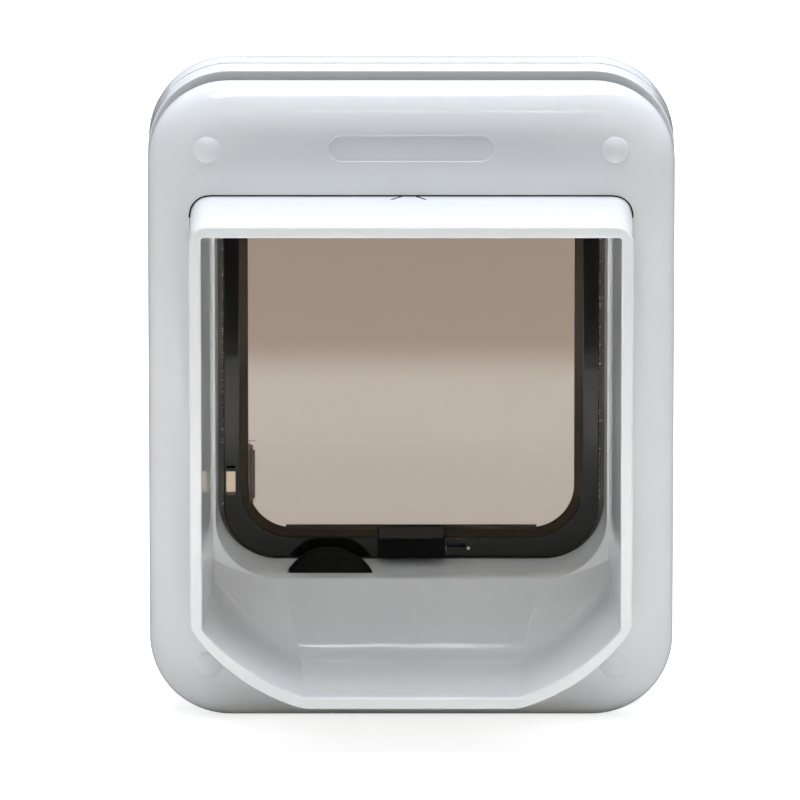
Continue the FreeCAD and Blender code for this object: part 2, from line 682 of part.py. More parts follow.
def front_bosses():
    """The tray's screw posts, its tunnel hole and its screw holes."""
    face, back = read("housing_plane"), read("seam_plane")
    start = face + read("housing_wall") / 2
    posts, holes = [], []
    for _, side, high in FIXING_SPOTS:
        x, z = side * read("fixing_reach"), read(high)
        radius = read("screw_shank") / 2
        posts.append(depth_rod(x, z, radius + read("boss_wall"), start, back))
        holes.append(depth_rod(x, z, radius, face - PAST, back + PAST))
    for side, high in CASE_SPOTS:
        x, z = side * read("case_side"), read(high)
        radius = read("case_screw") / 2 + read("hole_slack")
        posts.append(depth_rod(x, z, radius + read("boss_wall"), start, back))
        holes.append(depth_rod(x, z, radius, face - PAST, back + PAST))
        holes.append(depth_rod(x, z, read("case_screw_head") / 2 + read("hole_slack"), face - PAST,
                               face + read("case_head_tall") + read("hole_slack")))
    holes.append(prism(tunnel_outline(face - PAST, read("flange_fit")), back - face))
    return posts, holes


posts, holes = front_bosses()
tray_posts = solid("tray_posts", posts[0].multiFuse(posts[1:]))
tray_holes = solid("tray_holes", holes[0].multiFuse(holes[1:]))
tray_whole = fuse("housing_front_whole", front_case, tray_posts)
keep("housing_front", cut("housing_front_cut", tray_whole, tray_holes))

case_screws = []
for number, (side, high) in enumerate(CASE_SPOTS):
    case_screws.append(cylinder_head_screw(
        f"case_screw_{number}", f"{side} * case_side", high,
        "(housing_plane + hole_slack)", "case_screw_head", "case_head_tall",
        "case_screw", "front_depth + case_bite"))
keep("case_screws", group("case_screws", *case_screws))


def rear_cover(wall):
    """The rear cover's outer form, or its hollow when wall is not zero."""
    return pillow(read("frame_width") - 2 * wall, read("housing_height") - 2 * wall, wall,
                  read("frame_corner") - wall, read("rear_depth") - wall,
                  read("housing_bulge") - wall, read("housing_edge"), 1)


def cover_block(gap):
    """The space of the battery cover, or the cover's own size when gap is its clearance."""
    half = read("cover_half") - gap
    y = read("seam_plane") + read("cover_front") + gap
    low = read("cover_low") + gap
    return Part.makeBox(2 * half, read("rear_depth"), read("housing_height"), vec(-half, y, low))


def rear_shell():
    shell = rear_cover(0).cut(rear_cover(read("housing_wall")))
    shell.translate(vec(0, read("seam_plane"), 0))
    return shell


def passage(grow, start, end):
    """The way through the housing behind the flap."""
    half, low = read("passage_half") + grow, read("holder_low") - grow
    top = read("holder_high") + grow
    wire = throat_outline(start, half, low, top, read("passage_corner") + grow,
                          read("passage_round") + grow)
    return prism(wire, end - start)


def housing_rear():
    seam, back, inner = read("seam_plane"), read("housing_back"), read("inner_back")
    in_wall = inner + read("housing_wall") / 2
    sleeve_from = read("holder_back") + read("sleeve_gap")
    shape = rear_shell().cut(cover_block(0))
    extra = [passage(read("sleeve_wall"), sleeve_from, in_wall)]
    holes = [passage(0, sleeve_from - PAST, back + PAST)]
    for side, high in CASE_SPOTS:
        x, z = side * read("case_side"), read(high)
        radius = read("case_screw") / 2
        depth = read("case_bite") + read("case_head_tall") + 2 * read("hole_slack")
        extra.append(depth_rod(x, z, radius + read("boss_wall"), seam, inner - PAST))
        holes.append(depth_rod(x, z, radius, seam - PAST, seam + depth))
    middle = read("board_low") + read("board_tall") / 2
    for side in (-1, 1):
        x = read("board_side") + side * read("post_spread")
        extra.append(depth_rod(x, middle, read("post_width") / 2,
                               read("board_plane") + read("board_thick"), in_wall))
    lock_x, lock_z = -read("lock_side"), read("lock_high")
    for x, z, radius in (
            (lock_x, lock_z, read("lock_shaft") / 2 + read("pin_slack")),
            (read("button_side"), read("panel_high"), read("button_width") / 2 + read("stem_slack")),
            (read("light_side"), read("panel_high"), read("light_width") / 2)):
        holes.append(depth_rod(x, z, radius, inner - PAST, back + PAST))
    wall = read("sleeve_wall")
    holes.append(Part.makeCylinder(read("bolt_width") / 2 + read("bolt_slack"), wall + 2 * PAST,
                                   vec(read("latch_side"), read("bolt_plane"),
                                       read("holder_low") - wall - PAST)))
    rear_cam = read("rear_cam_plane")
    slack = read("cam_slack")
    holes.append(depth_rod(lock_x, lock_z, read("cam_radius") + slack, rear_cam - slack,
                           rear_cam + read("rear_cam_thick") + slack))
    return shape.fuse(extra).cut(holes).removeSplitter()


keep("housing_rear", solid("housing_rear", housing_rear()))
battery_cover = rear_shell().common(cover_block(read("cover_gap")))
keep("battery_cover", solid("battery_cover", battery_cover))


# Battery compartment: a tray open to the room, four cells and their contacts
TRAY_FRONT = "(inner_back - tray_deep)"
TRAY_INNER = "(cell_length + cell_gap / 2 + contact_room)"
TRAY_TALL = "(2 * cell_width + 3 * cell_gap)"
tray_block = box("tray_block", 0, TRAY_FRONT, "tray_low", f"2 * {TRAY_INNER} + 2 * tray_wall",
                 "tray_deep", f"{TRAY_TALL} + 2 * tray_wall")
tray_space = box("tray_space", 0, f"{TRAY_FRONT} + tray_wall", "tray_low + tray_wall",
                 f"2 * {TRAY_INNER}", "tray_deep", TRAY_TALL)
keep("battery_tray", cut("battery_tray_cut", tray_block, tray_space))

CELL_DEPTH = f"({TRAY_FRONT} + tray_wall + cell_gap + cell_width / 2)"
CONTACT_SIDE = "(cell_length + cell_gap / 2)"
cell_number = 0
plates, springs = [], []
for row in (0, 1):
    height = f"(tray_low + tray_wall + cell_gap + cell_width / 2 + {row} * (cell_width + cell_gap))"
    for side in (-1, 1):
        cell_number += 1
        start = "cell_gap / 2" if side > 0 else "-cell_length - cell_gap / 2"
        cell = rod(f"cell_{cell_number}", start, CELL_DEPTH, height, "cell_width", "cell_length",
                   "right")
        keep(f"battery_{cell_number}", cell)
        edge = f"{side} * ({TRAY_INNER} - contact_thick / 2)"
        plates.append(box(f"contact_{cell_number}", edge,
                          f"{CELL_DEPTH} - cell_width / 2 + contact_inset",
                          f"{height} - cell_width / 2 + contact_inset", "contact_thick",
                          "cell_width - 2 * contact_inset", "cell_width - 2 * contact_inset"))


def contact_spring(side, row):
    """A coil spring that presses one cell against its neighbour."""
    wire = read("contact_wire")
    room = read("contact_room") - read("contact_thick") - wire
    radius = read("cell_width") / 4
    coil = Part.makeHelix(room / read("contact_turns"), room, radius)
    ring = Part.Wire(Part.makeCircle(wire / 2, vec(radius, 0, 0), vec(0, 1, 0)))
    spring = Part.Wire(coil).makePipeShell([ring], True, True)
    spring.rotate(vec(0, 0, 0), vec(0, 1, 0), 90)
    x = read("cell_length") + read("cell_gap") / 2 + wire / 2
    y = value_of(CELL_DEPTH)
    z = read("tray_low") + read("tray_wall") + read("cell_gap") + read("cell_width") / 2
    spring.translate(vec(x, y, z + row * (read("cell_width") + read("cell_gap"))))
    return spring if side > 0 else spring.mirror(vec(0, 0, 0), vec(1, 0, 0))


for row in (0, 1):
    for side in (-1, 1):
        springs.append(solid(f"contact_spring_{row}_{side + 1}", contact_spring(side, row)))
keep("contact_plates", group("contact_plates", *plates))
keep("contact_springs", group("contact_springs", *springs))


# Flap holder: the ring behind the tunnel that carries the hinge pins and the brush
holder = plate("flap_holder_plate", "holder_plane", "holder_depth",
               ("throat_half + holder_wall", "holder_low - holder_foot",
                "holder_high + holder_head", "throat_corner", "holder_round + holder_wall"),
               ("throat_half", "holder_low", "holder_high", "throat_corner", "holder_round"))
holder_holes = [
    rod("holder_shaft_hole", "-lock_side", f"holder_plane - {PAST}", "lock_high",
        "lock_shaft + 2 * pin_slack", f"holder_depth + 2 * {PAST}", "back"),
    box("holder_magnet_seat", 0, "flap_middle - magnet_deep / 2",
        "holder_low - magnet_drop - magnet_tall", "magnet_wide", "holder_depth", "magnet_tall"),
]
for side in (-1, 1):
    start = f"throat_half - {PAST}" if side > 0 else "-throat_half - pin_seat"
    holder_holes.append(rod(f"holder_pin_hole_{side + 1}", start, "flap_middle", "axis_high",
                            "hinge_pin", f"pin_seat + {PAST}", "right"))
keep("flap_holder", cut("flap_holder_cut", holder, *holder_holes))
keep("frame_magnet", box("frame_magnet_block", 0, "flap_middle - magnet_deep / 2",
                         "holder_low - magnet_drop - magnet_tall", "magnet_wide", "magnet_deep",
                         "magnet_tall"))

brush_loop = plate("brush_loop", "flap_middle - brush_depth / 2", "brush_depth",
                   ("throat_half", "holder_low", "holder_high", "throat_corner", "holder_round"),
                   ("throat_half - brush_thick", "throat_sill", "holder_high - brush_thick",
                    "throat_corner - brush_thick", "holder_round"))
brush_trim = box("brush_trim", 0, "flap_middle - brush_depth", "brush_top",
                 "2 * throat_half", "2 * brush_depth", "holder_high")
keep("brush_seal", cut("brush_seal_cut", brush_loop, brush_trim))

for name, side in (("left", -1), ("right", 1)):
    start = "ring_half - pin_reach" if side > 0 else "-throat_half - pin_seat"
    keep("hinge_pin_" + name,
         rod("pin_" + name, start, "flap_middle", "axis_high", "hinge_pin",
             "throat_half + pin_seat - ring_half + pin_reach", "right"))


# Flap: a dark surround, a smoked pane, a magnet block and the plate that meets the latch
surround = plate("flap_surround_plate", "flap_front", "flap_depth",
                 ("ring_half", "ring_low", "axis_high", "ring_corner", "ring_round"),
                 ("window_half", "window_low", "window_high", "window_corner",
                  "window_crown_corner"))
crown = rod("flap_crown_bar", "-ring_half", "flap_middle", "axis_high", "2 * flap_crown",
            "2 * ring_half", "right")
crown_trim = box("flap_crown_trim", 0, "flap_front + flap_depth / 2 - flap_crown", "window_high",
                 "2 * ring_half", "2 * flap_crown", "axis_high - window_high")
rebate = plate("flap_rebate", "flap_front + window_front", "flap_depth",
               ("window_half + window_lip + window_slack",
                "window_low - window_lip - window_slack",
                "window_high + window_lip + window_slack",
                "window_corner + window_lip + window_slack",
                "window_crown_corner + window_lip + window_slack"))
surround_holes = [rebate]
for side in (-1, 1):
    start = f"ring_half - pin_reach - {PAST}" if side > 0 else f"-ring_half - {PAST}"
    surround_holes.append(rod(f"ring_pin_hole_{side + 1}", start, "flap_middle", "axis_high",
                              "hinge_pin + 2 * pin_slack", f"pin_reach + 2 * {PAST}", "right"))
surround_holes.append(box("ring_slot", "-ring_half + slot_edge + slot_wide / 2",
                          f"flap_front - {PAST}", "slot_high - slot_tall / 2", "slot_wide",
                          f"flap_depth + 2 * {PAST}", "slot_tall"))
surround_holes.append(box("ring_striker_seat", "latch_side", "flap_front + flap_depth"
                          " - striker_thick", "ring_low + striker_low", "striker_wide",
                          f"striker_thick + {PAST}", "striker_tall"))
surround_holes.append(box("ring_magnet_seat", 0, "flap_middle - magnet_deep / 2",
                          "ring_low + magnet_drop", "magnet_wide", "magnet_deep", "magnet_tall"))
keep("flap_surround", cut("flap_surround_cut", fuse("flap_surround_whole", surround, crown),
                          *surround_holes))

pane = plate("flap_pane", "flap_front + window_front", "window_thick",
             ("window_half + window_lip", "window_low - window_lip", "window_high + window_lip",
              "window_corner + window_lip", "window_crown_corner + window_lip"))
knuckle = box("pane_knuckle", "-window_half + knuckle_wide / 2",
              "flap_front + window_front + window_thick", "knuckle_high - knuckle_tall / 2",
              "knuckle_wide", "window_front / 2", "knuckle_tall")
keep("flap_window", fuse("flap_window_whole", pane, knuckle))


def magnet_block():
    """A wedge on the flap's foot: upright face, sloped top, open behind for the magnet."""
    front, back = read("flap_front") - read("block_out"), read("flap_front")
    half = read("block_wide") / 2
    low, high, peak = read("block_low"), read("block_high"), read("block_peak")
    side = [vec(-half, back, low), vec(-half, front, low), vec(-half, front, high),
            vec(-half, back, peak), vec(-half, back, low)]
    block = Part.Face(Part.makePolygon(side)).extrude(vec(2 * half, 0, 0))
    edges = [edge for edge in block.Edges if edge.BoundBox.YMax < front + TOUCH]
    return block.makeFillet(read("block_round"), edges)


keep("flap_magnet_block", solid("flap_magnet_block", magnet_block()))
keep("flap_magnet", box("flap_magnet_bar", 0, "flap_middle - magnet_deep / 2",
                        "ring_low + magnet_drop", "magnet_wide", "magnet_deep", "magnet_tall"))
keep("latch_striker", box("striker_plate", "latch_side", "flap_front + flap_depth"
                          " - striker_thick", "ring_low + striker_low", "striker_wide",
                          "striker_thick", "striker_tall"))


# Lock: a knob indoors turns a shaft with two cams, one on each side of the flap
def cam_profile(span, middle, thick, y):
    """A sector of a disc about the shaft, with a hub; angles run anticlockwise from outdoors."""
    radius, hub = read("cam_radius"), read("lock_shaft") / 2 + read("cam_hub")
    axis = vec(-read("lock_side"), y, read("lock_high"))
    disc = Part.makeCylinder(radius, thick, axis, vec(0, 1, 0), span)
    disc.rotate(axis, vec(0, 1, 0), -sector_turn(disc, axis, middle))
    shape = disc.fuse(Part.makeCylinder(hub, thick, axis, vec(0, 1, 0)))
    return shape.cut(Part.makeCylinder(read("lock_shaft") / 2, thick, axis, vec(0, 1, 0)))


def sector_turn(disc, axis, middle):
    """How far a sector must turn for its middle to stand at the wanted angle."""
    towards = disc.CenterOfMass - axis
    return middle - math.degrees(math.atan2(towards.z, towards.x))


UPRIGHT = 90  # degrees from level to straight up
step = read("cam_step")
keep("front_cam", solid("front_cam", cam_profile(2 * step, UPRIGHT - step / 2, read("cam_thick"),
                                                 read("cam_plane"))))
keep("rear_cam", solid("rear_cam", cam_profile(step - read("rear_cam_trim"), UPRIGHT - step,
                                               read("rear_cam_thick"), read("rear_cam_plane"))))
keep("lock_shaft", rod("lock_shaft_bar", "-lock_side", "cam_plane - shaft_tail", "lock_high",
                       "lock_shaft", "housing_back + knob_gap + knob_plate / 2"
                       " - cam_plane + shaft_tail", "back"))
knob_disc = rod("knob_disc", "-lock_side", "housing_back + knob_gap", "lock_high", "knob_width",
                "knob_plate", "back")
knob_grip = box("knob_grip", "-lock_side", "housing_back + knob_gap + knob_plate / 2",
                "lock_high - grip_length / 2", "grip_thick", "knob_depth - knob_plate / 2",
                "grip_length")
knob_bore = rod("knob_bore", "-lock_side", "housing_back", "lock_high", "lock_shaft",
                "knob_gap + knob_plate / 2", "back")
keep("lock_knob", cut("lock_knob_cut", fuse("knob_whole", knob_disc, knob_grip), knob_bore))
keep("detent_spring", box("detent_leaf", "-lock_side", "inner_back - detent_length",
                          "lock_high - lock_shaft / 2 - pin_slack - detent_thick", "detent_wide",
                          "detent_length", "detent_thick"))


# Latch and electronics, in the foot of the housing
keep("latch_bolt", rod("latch_bolt_bar", "latch_side", "bolt_plane", "bolt_foot", "bolt_width",
                       "bolt_length"))
keep("latch_solenoid", box("solenoid_can", "latch_side", "bolt_plane - bolt_width / 2",
                           "bolt_foot - solenoid_tall", "solenoid_wide", "solenoid_wide",
                           "solenoid_tall"))
keep("latch_bracket", box("latch_bracket_post", "latch_side", "bolt_plane - bolt_width / 2",
                          "housing_wall", "solenoid_wide", "bracket_depth",
                          "bolt_foot - solenoid_tall - housing_wall"))
keep("circuit_board", box("board", "board_side", "board_plane", "board_low", "board_wide",
                          "board_thick", "board_tall"))
keep("control_chip", box("chip", "board_side", "board_plane - chip_thick",
                         "board_low + board_tall / 2 - chip_wide / 2", "chip_wide", "chip_thick",
                         "chip_wide"))
keep("button_switch", box("switch", "button_side", "board_plane + board_thick",
                          "panel_high - switch_wide / 2", "switch_wide", "switch_tall",
                          "switch_wide"))
BUTTON_FOOT = "(board_plane + board_thick + switch_tall + button_travel + button_slack)"
button_rim = rod("button_rim_disc", "button_side", BUTTON_FOOT, "panel_high",
                 "button_width + 2 * button_rim", "inner_back - 2 * button_slack - " + BUTTON_FOOT,
                 "back")
button_stem = rod("button_stem", "button_side", BUTTON_FOOT, "panel_high", "button_width",
                  "housing_back + button_proud - " + BUTTON_FOOT, "back")
keep("learn_button", fuse("learn_button_whole", button_rim, button_stem))
keep("status_light", rod("status_light_rod", "light_side", "board_plane + board_thick",
                         "panel_high", "light_width",
                         "housing_back + light_proud - board_plane - board_thick", "back"))

doc.recompute()

faults = [item.Label for item in doc.Objects if {"Invalid", "Error"} & set(item.State)]
for name, item in parts.items():
    shape = item.Shape
    if shape.isNull() or not shape.isValid() or not shape.Solids:
        faults.append(name)
if faults:
    raise RuntimeError("faulty objects: " + ", ".join(faults))

os.makedirs("parts", exist_ok=True)
for name, item in parts.items():
    item.Shape.exportStep(f"parts/{name}.step")
    limits = item.Shape.BoundBox
    print(f"{name:26s} {len(item.Shape.Solids)} solid(s) {item.Shape.Volume / 1000:9.2f} cm3"
          f"  x {limits.XMin:7.1f} {limits.XMax:7.1f}  y {limits.YMin:7.1f} {limits.YMax:7.1f}"
          f"  z {limits.ZMin:7.1f} {limits.ZMax:7.1f}")
print(len(parts), "nodes")
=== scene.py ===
import math

import bmesh
import bpy
import numpy as np
from mathutils import Matrix, Vector


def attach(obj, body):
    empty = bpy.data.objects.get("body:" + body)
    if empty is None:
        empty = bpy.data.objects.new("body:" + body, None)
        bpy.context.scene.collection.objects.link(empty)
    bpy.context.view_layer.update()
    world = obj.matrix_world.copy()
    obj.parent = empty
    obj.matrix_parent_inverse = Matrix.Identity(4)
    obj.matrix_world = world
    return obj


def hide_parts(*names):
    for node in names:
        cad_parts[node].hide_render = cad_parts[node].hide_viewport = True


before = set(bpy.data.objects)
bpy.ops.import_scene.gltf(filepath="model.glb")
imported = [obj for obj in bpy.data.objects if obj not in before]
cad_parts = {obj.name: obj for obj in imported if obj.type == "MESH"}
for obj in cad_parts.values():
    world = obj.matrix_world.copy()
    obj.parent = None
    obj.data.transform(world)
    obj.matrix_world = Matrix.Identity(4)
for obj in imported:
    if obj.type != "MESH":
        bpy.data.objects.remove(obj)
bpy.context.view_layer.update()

scene = bpy.context.scene
scene.view_settings.view_transform = "Standard"
MM = 0.001

# Camera
# It looks from outdoors, fifteen degrees down and from about six metres, so that upright
# edges stay parallel. The flap stands a little right of the picture's middle.
aim = Vector((0, 2.8, 139)) * MM
tilt = math.radians(15)
camera_data = bpy.data.cameras.new("camera")
camera_data.sensor_width = 36
camera_data.lens = 629.9
camera_data.shift_x = -0.014
camera_data.clip_start = 0.5
camera_data.clip_end = 60
camera = bpy.data.objects.new("camera", camera_data)
camera.location = aim + Vector((0, -math.cos(tilt), math.sin(tilt))) * 6
camera.rotation_euler = (math.pi / 2 - tilt, 0, 0)
scene.collection.objects.link(camera)
scene.camera = camera

# Studio
# A floor that the camera sees plain white, soft lamps above and at both sides, and a white sky.
# Reflections see the floor in a painted dark tone, with painted shade near the part, and seen
# through the smoked pane it is a painted shade that turns tan far behind.
floor_mesh = bpy.data.meshes.new("studio_floor")
reach = 6
floor_mesh.from_pydata([(-reach, -reach, 0), (reach, -reach, 0), (reach, reach, 0),
                        (-reach, reach, 0)], [], [(0, 1, 2, 3)])
studio_floor = bpy.data.objects.new("studio_floor", floor_mesh)
scene.collection.objects.link(studio_floor)


def new_material(name):
    """An empty node material with its output, and the two tools that fill it."""
    material = bpy.data.materials.new(name)
    material.use_nodes = True
    nodes, links = material.node_tree.nodes, material.node_tree.links
    nodes.clear()
    out = nodes.new("ShaderNodeOutputMaterial")
    return material, nodes, links, out


def step_between(nodes, links, value, low, high):
    """A soft step from nought to one as value goes from low to high."""
    step = nodes.new("ShaderNodeMapRange")
    step.interpolation_type = "SMOOTHSTEP"
    step.inputs["From Min"].default_value = low
    step.inputs["From Max"].default_value = high
    links.new(value, step.inputs["Value"])
    return step.outputs["Result"]


def tone_mix(nodes, links, share, one, two):
    """A colour between two colours or sockets."""
    mix = nodes.new("ShaderNodeMix")
    mix.data_type = "RGBA"
    links.new(share, mix.inputs["Factor"])
    for label, value in (("A", one), ("B", two)):
        if isinstance(value, tuple):
            mix.inputs[label].default_value = (*value, 1)
        else:
            links.new(value, mix.inputs[label])
    return mix.outputs["Result"]


floor_look, nodes, links, out = new_material("white_floor")
place = nodes.new("ShaderNodeTexCoord")
apart = nodes.new("ShaderNodeSeparateXYZ")
links.new(place.outputs["Object"], apart.inputs[0])
behind = step_between(nodes, links, apart.outputs["Y"], 0.55, 0.63)
ahead = step_between(nodes, links, apart.outputs["Y"], -0.6, -0.52)
close = step_between(nodes, links, apart.outputs["Y"], -0.43, -0.36)
ray = nodes.new("ShaderNodeLightPath")
bare = tone_mix(nodes, links, ahead, (0.06, 0.06, 0.06), (0.84, 0.83, 0.81))
# Painted reflection: glossy rays see the floor in a painted dark tone, nearly black far in front, with a
# painted shade close to the part.
mirrored = tone_mix(nodes, links, ahead, (0.014, 0.014, 0.014), (0.09, 0.09, 0.09))
painted_shade_in_reflections = tone_mix(nodes, links, close, mirrored, (0.045, 0.045, 0.045))
painted = nodes.new("ShaderNodeBsdfDiffuse")
links.new(tone_mix(nodes, links, ray.outputs["Is Glossy Ray"], bare, painted_shade_in_reflections), painted.inputs["Color"])
# Painted shade through the pane: transmission rays see a floor of 0.9 that turns tan far behind the part.
painted_shade_through_pane = tone_mix(nodes, links, behind, (0.9, 0.89, 0.88), (0.68, 0.6, 0.55))
seen = tone_mix(nodes, links, ray.outputs["Is Transmission Ray"], (0, 0, 0), painted_shade_through_pane)
glow = nodes.new("ShaderNodeEmission")
links.new(tone_mix(nodes, links, ray.outputs["Is Camera Ray"], seen, (0.74, 0.74, 0.74)), glow.inputs["Color"])
lit = nodes.new("ShaderNodeAddShader")
links.new(glow.outputs[0], lit.inputs[0])
links.new(painted.outputs[0], lit.inputs[1])
links.new(lit.outputs[0], out.inputs["Surface"])
floor_mesh.materials.append(floor_look)

world = bpy.data.worlds.new("studio_sky")
world.use_nodes = True
scene.world = world
nodes, links = world.node_tree.nodes, world.node_tree.links
sky = nodes["Background"]
place = nodes.new("ShaderNodeTexCoord")
apart = nodes.new("ShaderNodeSeparateXYZ")
links.new(place.outputs["Generated"], apart.inputs[0])
rear = step_between(nodes, links, apart.outputs["Y"], -0.35, 0.4)
links.new(tone_mix(nodes, links, rear, (0.07, 0.07, 0.068), (0.52, 0.54, 0.58)), sky.inputs["Color"])


def lamp(name, spot, size, power, colour=(1, 1, 1), goal=(0, 0, 0.14), spread=180,
         mirrored=True):
    """A soft box at spot, turned towards goal, whose light fans out by spread degrees."""
    light = bpy.data.lights.new(name, "AREA")
    light.shape = "RECTANGLE"
    light.size, light.size_y = size
    light.energy = power
    light.color = colour
    light.spread = math.radians(spread)
    holder = bpy.data.objects.new(name, light)
    holder.location = spot
    holder.visible_glossy = mirrored
    holder.rotation_euler = (Vector(goal) - holder.location).to_track_quat("-Z", "Y").to_euler()
    scene.collection.objects.link(holder)


lamp("lamp_top", (0.1, -0.16, 2.2), (1.7, 0.6), 47, (0.87, 0.93, 1))
lamp("lamp_back", (0.0, 1.4, 2.2), (1.6, 1.0), 15, (0.93, 0.97, 1))
lamp("lamp_front", (0.2, -3.6, 0.55), (1.4, 0.6), 14, (1, 0.98, 0.93), mirrored=False)
lamp("lamp_table", (-0.04, -0.45, 2.0), (0.8, 0.12), 14.5, (1, 0.985, 0.95), (-0.04, -0.45, 0), 20,
     mirrored=False)
lamp("lamp_strip", (0.25, -2.6, 1.72), (1.5, 0.02), 3)
lamp("lamp_window", (0.014, -0.58, 1.95), (0.05, 0.05), 0.16, (0.8, 0.93, 1))
lamp("lamp_pane", (0.035, -0.48, 2.0), (0.04, 0.04), 0.12, (0.8, 0.93, 1))

# Hood and tunnel
# One white moulding: a hood with cut-off lower corners, a floor that climbs to a fold, two
# corner plates, and a rounded throat that carries the flap holder indoors.
HOOD_FRONT, FRAME_FRONT, DOOR_FACE, HOLDER_FACE = -65.2, -13.2, 2.8, 19.3
FLOOR_STEPS, SIDE_STEPS, WALL_STEPS, TURN_STEPS = 14, 12, 18, 8


def stretch(start, end, swell, steps):
    """Points from start up to but not at end, on a line that bows outwards by swell."""
    length = math.dist(start, end)
    if length == 0:
        return [start] * steps
    ux, uz = (end[0] - start[0]) / length, (end[1] - start[1]) / length
    points = []
    for step in range(steps):
        along = length * (1 - math.cos(math.pi * step / steps)) / 2
        rise = 0
        if swell:
            radius = (length ** 2 / 4 + swell ** 2) / (2 * swell)
            rise = math.sqrt(radius ** 2 - (along - length / 2) ** 2) - radius + swell
        points.append((start[0] + ux * along + uz * rise, start[1] + uz * along - ux * rise))
    return points


def quarter(x, z, radius, first, steps):
    """Points on a quarter round about x, z that starts at the angle first."""
    angles = [math.radians(first + 90 * step / steps) for step in range(steps)]
    return [(x + radius * math.cos(a), z + radius * math.sin(a)) for a in angles]


def whole_ring(half, y):
    """A closed ring, even about the middle, from its right half, bottom to top."""
    left = [(-x, z) for x, z in reversed(half[1:-1])]
    return [(x, y, z) for x, z in half + left]


def softened(line, reach, closed=False):
    """The same points with the kinks of their line rounded off over reach."""
    spots = np.array(line, float)
    road = np.vstack([spots, spots[:1]]) if closed else spots
    along = np.concatenate([[0], np.cumsum(np.linalg.norm(np.diff(road, axis=0), axis=1))])
    here = along[:len(spots)]
    room = reach if closed else np.minimum(reach, np.minimum(here, along[-1] - here))
    result = np.zeros_like(spots)
    for share, shift in ((1, -1), (2, -0.5), (3, 0), (2, 0.5), (1, 1)):
        at = here + shift * room
        at = np.mod(at, along[-1]) if closed else at
        result += share / 9 * np.stack([np.interp(at, along, road[:, k]) for k in range(3)], 1)
    return result


def tunnel_ring(y, grow):
    """The tunnel's outside at depth y, moved outwards by grow."""
    half, top, low, turn = 94.2 + grow, 233 + grow, 20.6 - grow, 8 + grow
    foot, side = (45.8, low), (half, 56.4)
    line = stretch((0, low), foot, 0, FLOOR_STEPS) + [foot] * SIDE_STEPS
    line += stretch(foot, side, 5.5, SIDE_STEPS)
    line += stretch(side, (half, top - turn), 0, WALL_STEPS)
    line += quarter(half - turn, top - turn, turn, 0, TURN_STEPS)
    line += stretch((half - turn, top), (0, top), 0, FLOOR_STEPS) + [(0, top)]
    return softened(whole_ring(line, y), 2.4, True)


def mouth_ring(y, half, top, low, foot, bend, side, swells):
    """The inside of the hood at depth y: floor, ramp side, corner plate, wall and top."""
    turn = 1.2
    line = stretch((0, low), foot, 0, FLOOR_STEPS)
    line += stretch(foot, bend, swells[0], SIDE_STEPS) + stretch(bend, side, swells[1], SIDE_STEPS)
    line += stretch(side, (half, top - turn), 0, WALL_STEPS)
    line += quarter(half - turn, top - turn, turn, 0, TURN_STEPS)
    line += stretch((half - turn, top), (0, top), 0, FLOOR_STEPS) + [(0, top)]
    return np.array(whole_ring(line, y))


def throat_ring(y, half, low, top, low_turn, top_turn):
    """A rounded opening of the throat or of the passage behind it."""
    line = stretch((0, low), (half - low_turn, low), 0, FLOOR_STEPS)
    line += quarter(half - low_turn, low + low_turn, low_turn, -90, 2 * SIDE_STEPS)
    line += stretch((half, low + low_turn), (half, top - top_turn), 0, WALL_STEPS)
    line += quarter(half - top_turn, top - top_turn, top_turn, 0, TURN_STEPS)
    line += stretch((half - top_turn, top), (0, top), 0, FLOOR_STEPS) + [(0, top)]
    return np.array(whole_ring(line, y))


sections = [
    mouth_ring(HOOD_FRONT, 89, 227.8, 25.8, (45.8, 25.8), (45.8, 25.8), (89, 55.4), (0, 3.5)),
    mouth_ring(-23.2, 86.5, 225.8, 30.5, (47, 30.5), (47, 30.5), (86.5, 58.4), (0, 3.5)),
    mouth_ring(-7.2, 85.6, 225, 48.5, (52, 48.5), (85.6, 61.5), (85.6, 61.5), (1, 0)),
    mouth_ring(DOOR_FACE, 85, 224.5, 59.7, (59, 59.7), (85, 68.5), (85, 68.5), (1.6, 0)),
]
depths = np.array([ring[0][1] for ring in sections])


def inside_at(y):
    """The inside of the hood at any depth, with the foot of the ramp eased."""
    ease = min(6, y - depths[0], depths[-1] - y)
    total = 0
    for share, shift in ((1, -1), (2, -0.5), (3, 0), (2, 0.5), (1, 1)):
        at = y + shift * ease
        k = min(max(int(np.searchsorted(depths, at)) - 1, 0), len(depths) - 2)
        part = (at - depths[k]) / (depths[k + 1] - depths[k])
        total = total + share / 9 * (sections[k] * (1 - part) + sections[k + 1] * part)
    return total


throat_front = throat_ring(DOOR_FACE, 84, 59.7, 224, 26, 8)
throat_back = throat_ring(16.8, 83, 63.9, 224, 26, 8)
near_edge = (0.3, 0.6, 1, 1.5, 2.2)
inside = [inside_at(y) for y in np.linspace(HOOD_FRONT, DOOR_FACE - 3, 30)]
inside += [inside_at(DOOR_FACE - gap) for gap in reversed(near_edge)] + [sections[-1]]
for part in (0, *(gap / 14 for gap in near_edge), 0.3, 0.5, 0.75, 1):
    inside.append(throat_front * (1 - part) + throat_back * part)
inside.append(throat_ring(HOLDER_FACE, 83, 63.9, 224, 26, 8))
inside = [softened(ring, 0.35, True) for ring in inside]
across = np.stack(inside)
for number in range(across.shape[1]):
    across[:, number] = softened(across[:, number], 1.3)

